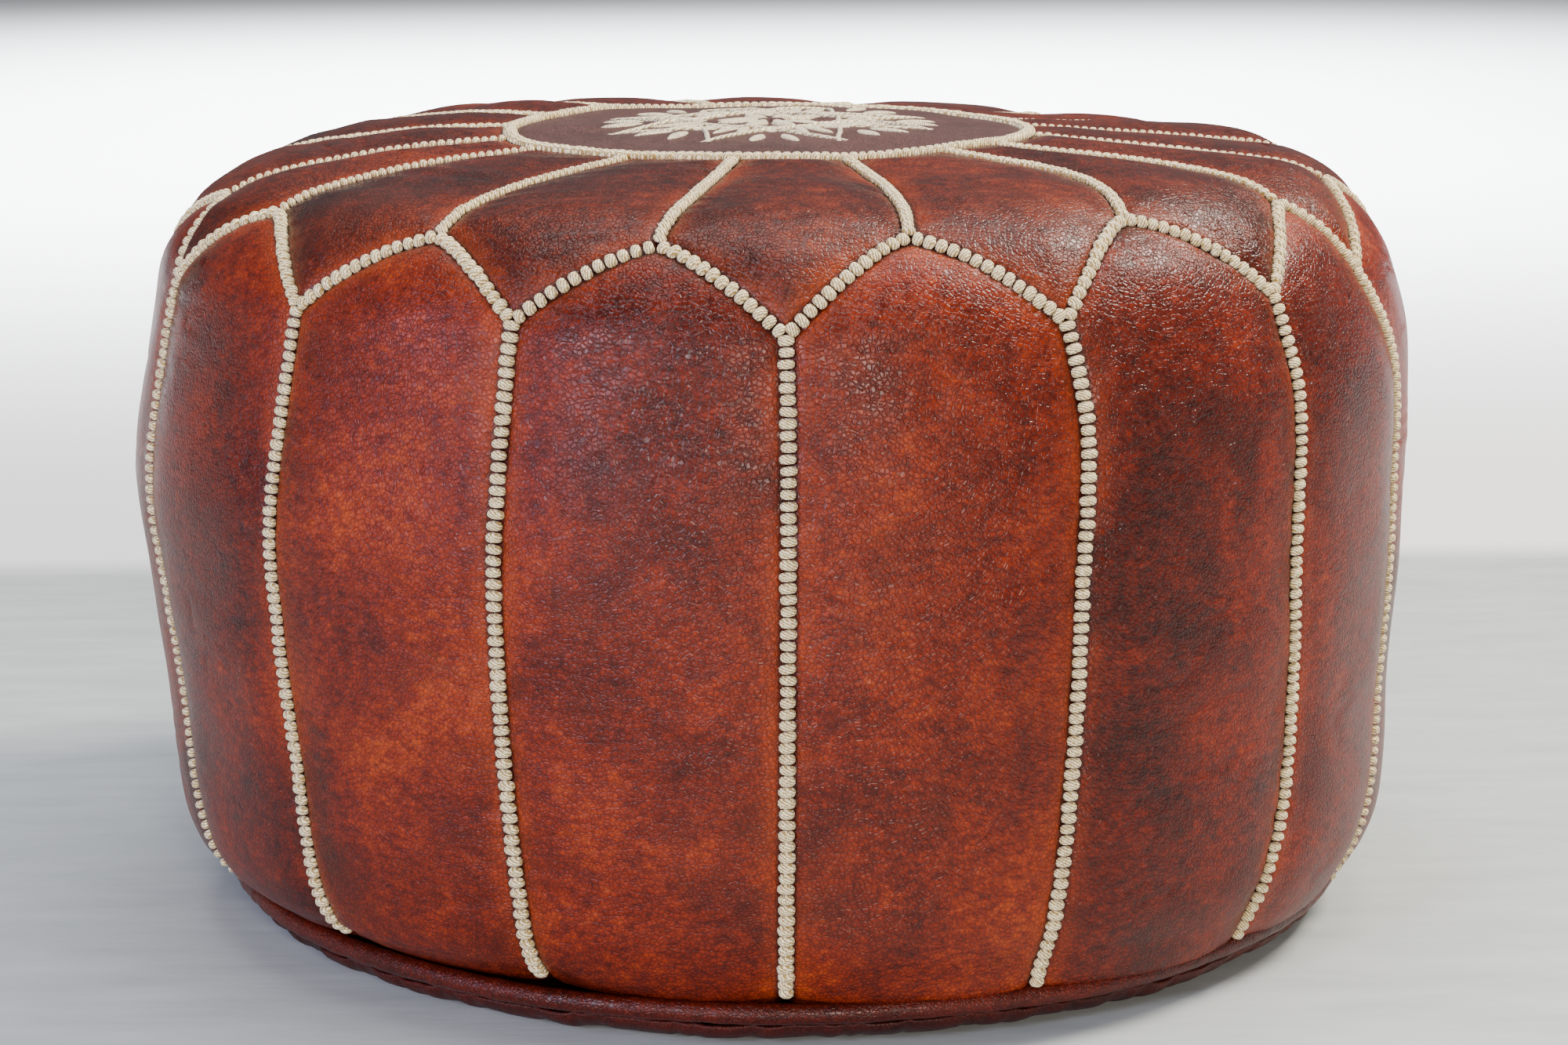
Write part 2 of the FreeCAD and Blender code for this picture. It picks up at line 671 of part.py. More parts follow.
def zip_tape(label, turn):
    """One woven tape, sewn to the inside of the base leather."""
    body = new_body(label, turn)
    sketch = new_sketch(body, "strip_of_" + label, "XY_Plane")
    sketch.setExpression("AttachmentOffset.Base.z", cells("tape_height - tape_thickness / 2"))
    rectangle(sketch, "-tape_half", "tape_half", "tape_inner", "tape_inner + tape_width")
    pad(body, sketch, "tape_thickness")
    return body


def zip_teeth(label, turn):
    """One row of moulded teeth on the bead along its tape's edge."""
    body = new_body(label, turn)
    bead = new_sketch(body, "bead_of_" + label, "XY_Plane")
    bead.setExpression("AttachmentOffset.Base.z", cells("tape_height"))
    rectangle(bead, "-teeth_half", "teeth_half", "bead_inner", "tooth_outer")
    pad(body, bead, "bead_height", symmetric=True)
    tooth = new_sketch(body, "tooth_of_" + label, "XY_Plane")
    tooth.setExpression("AttachmentOffset.Base.z", cells("tape_height"))
    first = "-(teeth_count - 1) * tooth_pitch / 2"
    rectangle(tooth, f"{first} - tooth_length / 2", f"{first} + tooth_length / 2",
              "tooth_inner", "tooth_outer")
    raised = pad(body, tooth, "tooth_height", symmetric=True)
    row = body.newObject("PartDesign::LinearPattern", "row_of_" + label)
    row.Originals = [raised]
    row.Direction = (tooth, ["H_Axis"])
    row.setExpression("Length", cells("(teeth_count - 1) * tooth_pitch"))
    row.setExpression("Occurrences", cells("teeth_count"))
    body.Tip = row
    document.recompute()
    return body


def zip_stops():
    """Two top stops and one bottom stop at the ends of the teeth."""
    low = "tape_height - tooth_height / 2"
    near, far = "teeth_half + stop_gap", "-teeth_half - stop_gap - stop_length"
    short = ("stop_length", "tooth_outer - tooth_inner", "tooth_height")
    stops = document.addObject("Part::Compound", "zip_stops")
    stops.Label = "zip_stops"
    stops.Links = [
        block("top_stop_back", (near, "tooth_inner", low), short),
        block("top_stop_front", (near, "-tooth_outer", low), short),
        block("bottom_stop", (far, "-tooth_outer", low),
              ("stop_length", "2 * tooth_outer", "tooth_height")),
    ]
    document.recompute()
    return stops


def zip_slider():
    """The slider: the chain runs between its plates, and its bridge hangs below them."""
    front = "slider_place - slider_length / 2"
    outer_top = "tape_height - slider_throat / 2"
    inner_low = "tape_height + slider_throat / 2"
    bridge_low = f"{outer_top} - slider_plate - bridge_hole - bridge_bar"
    plate = ("slider_length", "slider_width", "slider_plate")
    pieces = [
        block("outer_plate", (front, "-slider_width / 2", f"{outer_top} - slider_plate"), plate),
        block("inner_plate", (front, "-slider_width / 2", inner_low), plate),
        block("web", ("slider_place + web_start", "-slider_web / 2", outer_top),
              ("web_length", "slider_web", "slider_throat")),
        block("bridge", ("slider_place - bridge_length / 2", "-bridge_width / 2", bridge_low),
              ("bridge_length", "bridge_width", "bridge_hole + bridge_bar + slider_plate / 2")),
    ]
    for word, side in (("front", "-slider_width / 2"), ("back", "slider_width / 2 - flange")):
        wall = ("slider_length", "flange", "flange")
        pieces.append(block(f"outer_flange_{word}", (front, side, f"{outer_top} - flange_bite"),
                            wall))
        pieces.append(block(f"inner_flange_{word}",
                            (front, side, f"{inner_low} - flange + flange_bite"), wall))
    body = join("slider_with_solid_bridge", pieces)
    hole = block("bridge_hole", ("slider_place - bridge_length / 2 + bridge_leg",
                                 "-bridge_width", f"{bridge_low} + bridge_bar"),
                 ("bridge_length - 2 * bridge_leg", "2 * bridge_width", "bridge_hole"))
    slider = document.addObject("Part::Cut", "zip_slider")
    slider.Label = "zip_slider"
    slider.Base = body
    slider.Tool = hole
    document.recompute()
    return slider


def zip_pull():
    """The pull tab on its bar, drawn along +X from the bar and drooped to its rest."""
    bar = document.addObject("Part::Cylinder", "pull_bar")
    bar.setExpression("Radius", cells("pull_bar / 2"))
    bar.setExpression("Height", cells("pull_width"))
    bar.Placement = Placement(Vector(), Rotation(Vector(1, 0, 0), 90))
    bar.setExpression("Placement.Base.y", cells("pull_width / 2"))
    low = "-pull_bar / 2"
    arm = ("pull_arms + pull_bar", "(pull_width - pull_gap) / 2", "pull_bar")
    pieces = [
        bar,
        block("arm_front", ("0", "-pull_width / 2", low), arm),
        block("arm_back", ("0", "pull_gap / 2", low), arm),
        block("tab", ("pull_arms", "-pull_width / 2", low),
              ("pull_length - pull_arms", "pull_width", "pull_bar")),
    ]
    eye = document.addObject("Part::Cylinder", "pull_eye")
    eye.setExpression("Radius", cells("pull_eye"))
    eye.setExpression("Height", cells("2 * pull_bar"))
    for axis, value in (("x", "pull_length - 2 * pull_eye - pull_bar"), ("z", "-pull_bar")):
        eye.setExpression("Placement.Base." + axis, cells(value))
    pull = document.addObject("Part::Cut", "zip_pull")
    pull.Label = "zip_pull"
    pull.Base = join("pull_without_eye", pieces)
    pull.Tool = eye
    hinge = S.tape_height - S.slider_throat / 2 - S.slider_plate - S.bridge_hole / 2
    pull.Placement = Placement(Vector(S.slider_place, 0, hinge),
                               Rotation(Vector(0, 1, 0), 180 - S.pull_droop))
    document.recompute()
    return pull


# ---- build, check and write -----------------------------------------------------------------

def build():
    """Make every sub-part in the order that it is sewn together, top to bottom."""
    for number in range(S.panel_count):
        subparts.append(side_panel(number))
        subparts.append(top_petal(number))
    subparts.extend([
        medallion(), side_seam_braids(), scallop_braids(), petal_braids(),
        medallion_braid_ring(), medallion_embroidery(),
        base_panel("base_panel_front", 0), base_panel("base_panel_back", 180),
        ring_of_circles("piping_leather", "piping_size", "piping_cord + cord_gap"),
        ring_of_circles("piping_cord", "piping_cord"),
        inner_lining(), filling(),
        zip_tape("zip_tape_back", 0), zip_tape("zip_tape_front", 180),
        zip_teeth("zip_teeth_back", 0), zip_teeth("zip_teeth_front", 180),
        zip_stops(), zip_slider(), zip_pull(),
    ])


def check():
    """Stop on any failed object or empty or broken shape."""
    document.recompute()
    for item in document.Objects:
        if "Invalid" in item.State or "Error" in item.State:
            raise RuntimeError(f"{item.Label} failed: {item.State}")
        if item.TypeId == "Sketcher::SketchObject" and not item.FullyConstrained:
            raise RuntimeError(f"{item.Label} isn't fully constrained")
    for item in subparts:
        if item.Shape.isNull() or not item.Shape.isValid() or not item.Shape.Solids:
            raise RuntimeError(f"{item.Label} has no valid solid")


def write():
    """Write each sub-part to its own STEP file."""
    os.makedirs("parts", exist_ok=True)
    for item in subparts:
        item.Shape.exportStep(f"parts/{item.Label}.step")
        print(f"{item.Label}: {len(item.Shape.Solids)} solids, {item.Shape.Volume:.0f} mm3")


build()
check()
write()
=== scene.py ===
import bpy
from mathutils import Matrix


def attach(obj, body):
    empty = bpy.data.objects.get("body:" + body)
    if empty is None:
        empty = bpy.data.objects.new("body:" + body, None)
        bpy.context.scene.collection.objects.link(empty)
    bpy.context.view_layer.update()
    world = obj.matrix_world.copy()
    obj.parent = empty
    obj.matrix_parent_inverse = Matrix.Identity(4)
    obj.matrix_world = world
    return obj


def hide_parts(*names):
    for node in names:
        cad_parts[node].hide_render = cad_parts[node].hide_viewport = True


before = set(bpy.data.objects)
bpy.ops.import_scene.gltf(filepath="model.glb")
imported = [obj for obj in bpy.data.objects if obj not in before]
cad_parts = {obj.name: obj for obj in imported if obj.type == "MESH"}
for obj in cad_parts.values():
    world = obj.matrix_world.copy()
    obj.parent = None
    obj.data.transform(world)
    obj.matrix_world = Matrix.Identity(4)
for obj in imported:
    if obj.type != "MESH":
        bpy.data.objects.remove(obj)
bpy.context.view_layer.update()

# A round pouf of goat leather: sixteen side panels, sixteen petals and a medallion, sewn with
# beaded cream thread over a stuffed bag, with a welt round the base and a zip underneath.
# Lengths here are millimetres, on the same axes as the CAD; meshes are turned to metres last.

import math

import bpy
import numpy as np
from mathutils import Matrix, Vector

PANELS = 16
PITCH = 360 / PANELS
FRONT = -90
LEATHER = 2.0
SEAM_ROOM = 0.2
MEDALLION = 110.5
DOME = 1650.0
WELT_REACH, WELT_HEIGHT, WELT_SIZE, CORD_SIZE = 243.0, 16.8, 4.2, 2.4
RECESS_RISE, RECESS_REACH, FOOT_INNER, FOOT_OUTER = 12.0, 157.0, 186.0, 208.0
CURL_START, CURL_RISE, LIP_REACH = 212.0, 11.5, 243.0
SLOT_HALF, SLOT_WIDTH = 141.0, 18.0
STITCH_LENGTH = 3.6
# How far the side leather runs on below the hem, behind the welt
HEM_TURN = 12
# The arches slope, so the way to one across the leather is shorter than the way straight up
ARCH_SLOPE = 0.78
# A Mix node's colour sockets, which share their names with its other kinds of socket
FIRST, SECOND, MIXED = 6, 7, 2

# The cover's side view from hem to middle, as arcs that run into each other: centre radius,
# centre height, arc radius, first and last angle
ARCS = np.array([
    (198.62, 62.0, 60.0, -41.81, -9.715),
    (-432.2, 170.0, 700.0, -9.715, 8.531),
    (205.66, 265.69, 55.0, 8.531, 82.592),
    (0.0, 334.0 - DOME, DOME, 82.592, 90.0),
])
ARC_STARTS = np.concatenate([[0], np.cumsum(ARCS[:, 2] * np.radians(ARCS[:, 4] - ARCS[:, 3]))])
COVER = ARC_STARTS[-1]
RING = COVER - DOME * math.asin(MEDALLION / DOME)

# How far each seam strays from its even place, in degrees anticlockwise. Side seams: at the
# hem, low, middle, high and at the junction. Petal seams: at the peak, halfway and at the ring.
STRAY_HEIGHTS = (22, 90, 175, 250, 281)
SIDE_STRAY = {
    13: (0, -4.5, -4.8, -4.8, -3.5), 14: (-1, -2, -2.7, -2, -1.5), 15: (-0.5, -1.2, -1.5, -1, -0.7),
    0: (-0.5, -0.4, -0.2, -0.1, -0.2), 1: (-0.3, 1, 1.5, 2, 1), 2: (1, 4, 3, 3, 1.8),
    3: (0, 3.5, 3.5, 1, -4),
}
PETAL_STRAY = {
    12: (2, 1, 0), 13: (-3, -5, -3.5), 14: (0, -1.5, 1.7), 15: (-0.3, 1, 2.4), 0: (0, 2.2, 3.4),
    1: (-0.2, 6.5, 4), 2: (0.8, 3, -2), 3: (-1, 0, 0),
}
# Where the listed seams meet: heights of the junctions at the arches' feet, and distances up
# the cover to the arches' peaks
JUNCTION_HEIGHTS = {13: 278, 14: 279.5, 15: 282, 0: 278.5, 1: 279.5, 2: 280, 3: 281}
PEAK_PLACES = {12: 305, 13: 306, 14: 302, 15: 300, 0: 303, 1: 305, 2: 301.5, 3: 302}

chance = np.random.default_rng(7)
LATTICE = chance.random(4096)


# ---- shapes as numbers ----------------------------------------------------------------------

def noise(x, y, z, seed=0):
    """A smooth field from 0 to 1: a random value at each whole place, eased in between."""
    x, y, z = np.broadcast_arrays(x, y, z)
    cells = [np.floor(a).astype(np.int64) for a in (x, y, z)]
    parts = [a - c for a, c in zip((x, y, z), cells)]
    parts = [p * p * (3 - 2 * p) for p in parts]
    total = np.zeros(x.shape)
    for corner in range(8):
        weight, key = 1.0, np.int64(seed * 7919)
        for axis, prime in enumerate((73856093, 19349663, 83492791)):
            far = corner >> axis & 1
            weight = weight * (parts[axis] if far else 1 - parts[axis])
            key = key ^ ((cells[axis] + far) * prime)
        total += weight * LATTICE[(key ^ key >> 13) & 4095]
    return total


def smooth_line(x, places, values):
    """A cubic line through given values, its slope at each the mean of the steps beside it."""
    places, values = np.asarray(places, float), np.asarray(values, float)
    slope = np.gradient(values, places)
    i = np.clip(np.searchsorted(places, x) - 1, 0, len(places) - 2)
    width = places[i + 1] - places[i]
    t = np.clip((x - places[i]) / width, 0, 1)
    return ((1 + 2 * t) * (1 - t) ** 2 * values[i] + t * (1 - t) ** 2 * width * slope[i]
            + t * t * (3 - 2 * t) * values[i + 1] + t * t * (t - 1) * width * slope[i + 1])


def step(low, high, x):
    """0 below low, 1 above high, eased between; the other way round when low is above high."""
    t = np.clip((x - low) / (high - low), 0, 1)
    return t * t * (3 - 2 * t)


def profile(s):
    """Radius, height and outward tilt at s along the arcs: centre + radius * (cos, sin)."""
    piece = np.clip(np.searchsorted(ARC_STARTS, s, side="right") - 1, 0, len(ARCS) - 1)
    reach, height, size, first, _ = np.moveaxis(ARCS[piece], -1, 0)
    tilt = np.radians(first) + (s - ARC_STARTS[piece]) / size
    return reach + size * np.cos(tilt), height + size * np.sin(tilt), tilt


def along(heights):
    """Distance along the arcs to the given heights on the side and shoulder."""
    s = np.linspace(0, COVER, 2000)
    return np.interp(heights, profile(s)[1], s)


def slump(angle, s):
    """How far the stuffed cover stands off its even shape, in mm: the left side slack over the
    shoulder and full at the waist, the right side fuller, with a gentle unevenness all over."""
    places = [*along((25, 65, 100, 150, 190, 245, 290, 315)), 400, COVER]
    left = smooth_line(s, places, (-2, -2, -4, -1.5, 2.5, -1.3, -3.2, -5.5, -1.5, 0))
    right = smooth_line(s, places, (5, 4, 0, 0.5, 2, 5, 0, -1.5, -0.5, 0))
    turn = np.radians(angle)

    def facing(middle):
        return np.clip(np.cos(turn - math.radians(middle)), 0, 1) ** 1.5

    back = (4.6 * facing(140) - 3.2 * facing(62)) * step(300, 345, s) * step(460, 380, s)
    uneven = 2.4 * (noise(np.cos(turn) * 3, np.sin(turn) * 3, s / 90, 3) - 0.5) * step(0, 60, s)
    sunk = 2.5 * step(330, 420, s)
    return left * facing(-170) + right * facing(-10) + back - sunk + uneven


def outward(angle, s):
    """The cover's outward direction: its tilt in the side view, turned round by the angle."""
    tilt, turn = profile(s)[2], np.radians(angle)
    return np.stack([np.cos(tilt) * np.cos(turn), np.cos(tilt) * np.sin(turn),
                     np.sin(tilt) + 0 * turn], -1)


def on_cover(angle, s, lift=0.0):
    """A point at an angle and a distance s up the cover, slumped and lifted off the surface."""
    reach, height, _ = profile(s)
    turn = np.radians(angle)
    even = np.stack([reach * np.cos(turn), reach * np.sin(turn), height + 0 * turn], -1)
    return even + outward(angle, s) * np.asarray(slump(angle, s) + lift)[..., None]


def every_seam(hand_set, middle, spread, count=1):
    """Values for every seam: the listed ones, and small even chances for the rest."""
    rest = middle + chance.uniform(-spread, spread, (PANELS, count))
    return np.array([np.broadcast_to(hand_set.get(k, rest[k]), count) for k in range(PANELS)])


side_strays = every_seam(SIDE_STRAY, 0, 1.8, 5)
petal_strays = every_seam(PETAL_STRAY, 0, 2.5, 3)
JUNCTION = along(every_seam(JUNCTION_HEIGHTS, 281, 1.5)[:, 0])
PEAK = every_seam(PEAK_PLACES, 302, 2)[:, 0]
POINTEDNESS = chance.uniform(1.25, 1.5, PANELS)


def side_seam(k, s):
    """Angle of side seam k at s: its even place plus its stray."""
    return FRONT + k * PITCH + smooth_line(s, along(STRAY_HEIGHTS), side_strays[k % PANELS])


def petal_seam(k, s):
    """Angle of the petal seam over side panel k, halfway between side seams k and k + 1."""
    rise = (PEAK[k % PANELS], (PEAK[k % PANELS] + RING) / 2, RING)
    return FRONT + (k + 0.5) * PITCH + smooth_line(s, rise, petal_strays[k % PANELS])


def arch(k, t):
    """Angle and s along the arch over side panel k, from its left foot at t = -1 over its peak
    at 0 to its right foot at 1: the rise falls away from the peak as a power of |t|."""
    left, right = side_seam(k, COVER), side_seam(k + 1, COVER)
    peak = petal_seam(k, 0)
    angle = np.where(t < 0, left + (1 + t) * (peak - left), peak + t * (right - peak))
    foot = np.where(t < 0, JUNCTION[k % PANELS], JUNCTION[(k + 1) % PANELS])
    fall = np.abs(t) ** POINTEDNESS[k % PANELS]
    return angle, PEAK[k % PANELS] + fall * (foot - PEAK[k % PANELS])


def leather_lift(hide, angle, s, edge, puff):
    """How the leather stands off the cover, from its distance to the nearest seam: puffed in
    the middle, pulled down at the stitches, puckered beside them, and creased all over."""
    reach = profile(s)[0]
    x = np.radians(angle) * reach
    full = puff * (1 - np.exp(-(edge / 16) ** 2)) - 0.6
    pulled = -1.9 * np.exp(-(edge / 3.2) ** 2)
    pucker = 1.5 * (noise(x / 6, s / 6, hide * 3.1, 5) - 0.5) * np.exp(-edge / 8)
    folds = 1.3 * (noise(x / 38, s / 26, hide * 5.3, 6) - 0.5) * step(2, 14, edge)
    drift = 6 * noise(x / 20, s / 20, hide, 8)
    ridge = 1 - np.abs(2 * noise(x / 34, (s + drift) / 8, hide * 2.7, 7) - 1)
    where = step(0.45, 0.75, noise(x / 30, s / 30, hide * 4.9, 9))
    return full + pulled + pucker + folds - 0.55 * ridge ** 7 * where


def medallion_lift(angle, s):
    """The medallion's leather: sunk at its ring of stitches, and a little quilted."""
    reach, turn = profile(s)[0], np.radians(angle)
    soft = noise(reach * np.cos(turn) / 22, reach * np.sin(turn) / 22, 0.0, 11) - 0.5
    return 1.1 * soft - 1.6 * np.exp(-((MEDALLION - reach) / 4) ** 2)


def welt_shift(angle):
    """How far the welt strays outwards, in mm: fuller at the front right, tucked in at the left."""
    turn = np.radians(angle)
    wave = noise(np.cos(turn) * 5, np.sin(turn) * 5, 0.0, 31) - 0.5
    about = (np.asarray(angle, float) + 180) % 360 - 180
    stray = smooth_line(about, (-180, -150, -120, -90, -60, -30, 0, 60, 120, 180),
                        (-8, -10.5, -4, 1.2, 3.5, 0.8, -1.5, -1, -2.5, -8))
    return stray + 1.2 * wave


def welt_rise(angle):
    """How far the welt strays upwards, in mm."""
    turn = np.radians(angle)
    return 1.6 * (noise(np.cos(turn) * 4, np.sin(turn) * 4, 5.0, 32) - 0.5)


def hem_lift(angle, s):
    """How far the lowest 16 mm of the side follow the welt, never tucked in by over 3.5 mm."""
    return 0.95 * np.maximum(welt_shift(angle), -3.5) * step(16, 0, s)


# ---- meshes ---------------------------------------------------------------------------------

def make_piece(name, points, faces, material, attributes=None):
    """A piece of the pouf from points in mm, with values on its points for its material."""
    mesh = bpy.data.meshes.new(name)
    mesh.from_pydata((np.asarray(points, float).reshape(-1, 3) / 1000).tolist(), [], faces)
    mesh.polygons.foreach_set("use_smooth", np.full(len(mesh.polygons), True))
    for word, values in (attributes or {}).items():
        values = np.asarray(values, np.float32)
        kind, key = ("FLOAT_VECTOR", "vector") if values.shape[-1:] == (3,) else ("FLOAT", "value")
        mesh.attributes.new(word, kind, "POINT").data.foreach_set(key, values.ravel())
    mesh.materials.append(material)
    piece = bpy.data.objects.new(name, mesh)
    bpy.context.scene.collection.objects.link(piece)
    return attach(piece, "pouf")


def grid_faces(rows, columns, closed=False, first=0):
    """Four-sided faces of a grid numbered row by row; a closed grid joins its last column to
    its first. Faces point outwards when columns run to the right and rows run up."""
    across = columns if closed else columns - 1
    r, c = np.meshgrid(np.arange(rows - 1), np.arange(across), indexing="ij")
    right = (c + 1) % columns
    faces = np.stack([r * columns + c, r * columns + right,
                      (r + 1) * columns + right, (r + 1) * columns + c], -1)
    return (faces.reshape(-1, 4) + first).tolist()


def thicken(piece, depth=LEATHER):
    """Gives a sheet of leather its thickness, inwards."""
    wall = piece.modifiers.new("thickness", "SOLIDIFY")
    wall.thickness, wall.offset, wall.use_even_offset = depth / 1000, -1, False


def at_distance(distances, gone, values):
    """Values of three numbers each, read off a line at distances along it."""
    return np.stack([np.interp(distances, gone, values[:, axis]) for axis in range(3)], -1)


def squared(wave):
    """A sine or cosine with its rounds filled out towards a square."""
    return np.sign(wave) * np.abs(wave) ** 0.82


def place_beads(lines, half, pitch, slant=0.0, wobble=0.08):
    """Stitches along lines on the cover. Each line is (points, directions off the surface).
    A stitch is a squashed round, squared off, pinched in the middle and flat underneath;
    half is its half width across the seam, half length along it and half height."""
    columns, levels = 12, np.radians([-42, -8, 26, 58])
    turn = np.radians(np.arange(columns) * 360 / columns + 15)
    x = squared(np.cos(turn))[None] * np.cos(levels)[:, None]
    y = squared(np.sin(turn))[None] * np.cos(levels)[:, None]
    y = y * (1 - 0.16 * np.exp(-(x / 0.4) ** 2))
    z = np.repeat(np.sin(levels)[:, None], columns, 1)
    crown = [[0, 0, 0.93]]
    form = np.concatenate([np.stack([x, y, z], -1).reshape(-1, 3), crown])
    count = len(form)
    top = (len(levels) - 1) * columns
    faces = grid_faces(len(levels), columns, closed=True)
    faces += [[top + c, top + (c + 1) % columns, count - 1] for c in range(columns)]
    faces.append(list(range(columns - 1, -1, -1)))

    places, offs, runs = [], [], []
    for points, off in lines:
        gone = np.concatenate([[0], np.cumsum(np.linalg.norm(np.diff(points, axis=0), axis=1))])
        beads = max(2, round(gone[-1] / pitch))
        middles = (np.arange(beads) + 0.5) / beads * gone[-1]
        places.append(at_distance(middles, gone, points))
        offs.append(at_distance(middles, gone, off))
        runs.append(at_distance(middles + pitch / 2, gone, points)
                    - at_distance(middles - pitch / 2, gone, points))
    place, off, run = (np.concatenate(a) for a in (places, offs, runs))
    off /= np.linalg.norm(off, axis=1, keepdims=True)
    run -= off * (run * off).sum(1, keepdims=True)
    run /= np.linalg.norm(run, axis=1, keepdims=True)
    side = np.cross(run, off)
    total = len(place)
    tip = np.radians(slant + chance.normal(0, 4, total))[:, None]
    run, side = run * np.cos(tip) + side * np.sin(tip), side * np.cos(tip) - run * np.sin(tip)
    size = np.asarray(half) * (1 + wobble * chance.uniform(-1, 1, (total, 3)))
    nudge = side * chance.uniform(-0.25, 0.25, (total, 1))
    scaled = form[None] * size[:, None]
    axes = np.stack([side, run, off], 1)
    points = (place + nudge)[:, None] + scaled @ axes
    strand = scaled.copy()
    strand[..., 2] = np.arange(total)[:, None] * 1.7
    many = [[i + n * count for i in face] for n in range(total) for face in faces]
    return points.reshape(-1, 3), many, {"strand": strand.reshape(-1, 3)}


def ring_tube(reach, height, size, rings, around=18, lobes=0, twist=0):
    """A tube round the upright axis. Reach and height may change with the angle; a laid cord
    has lobes in its section that turn as they go round."""
    angle = np.arange(rings) * 360 / rings
    section = np.radians(np.arange(around) * 360 / around)
    a, b = np.meshgrid(np.radians(angle), section, indexing="ij")
    wide = size(angle)[:, None] * (1 + (0.14 * np.cos(lobes * (b - twist * a)) if lobes else 0))
    out = reach(angle)[:, None] + wide * np.cos(b)
    up = height(angle)[:, None] + wide * np.sin(b)
    points = np.stack([out * np.cos(a), out * np.sin(a), up], -1)
    faces = np.array(grid_faces(rings + 1, around, closed=True)) % (rings * around)
    return points, faces[:, ::-1].tolist(), a, b


# ---- finishes -------------------------------------------------------------------------------

def colour(code):
    """Linear red, green, blue and 1 from an sRGB hex code."""
    parts = [int(code[i:i + 2], 16) / 255 for i in (1, 3, 5)]
    return (*[p / 12.92 if p <= 0.04045 else ((p + 0.055) / 1.055) ** 2.4 for p in parts], 1.0)


def node(tree, kind, inputs=None, stops=None, **settings):
    """Adds a node, sets it up, and sets or links each input, by name or number."""
    made = tree.nodes.new("ShaderNode" + kind)
    for word, value in settings.items():
        setattr(made, word, value)
    if stops:
        marks = made.color_ramp.elements
        while len(marks) < len(stops):
            marks.new(0.5)
        for mark, (place, code) in zip(marks, stops):
            mark.position, mark.color = place, colour(code)
    for socket, value in (inputs or {}).items():
        if isinstance(value, bpy.types.NodeSocket):
            tree.links.new(value, made.inputs[socket])
        else:
            made.inputs[socket].default_value = value
    return made


def new_finish(name, **shader):
    """A material with one Principled shader, its constant sockets set directly."""
    made = bpy.data.materials.new(name)
    made.use_nodes = True
    principled = made.node_tree.nodes["Principled BSDF"]
    for socket, value in shader.items():
        principled.inputs[socket.replace("_", " ")].default_value = value
    return made, made.node_tree, principled


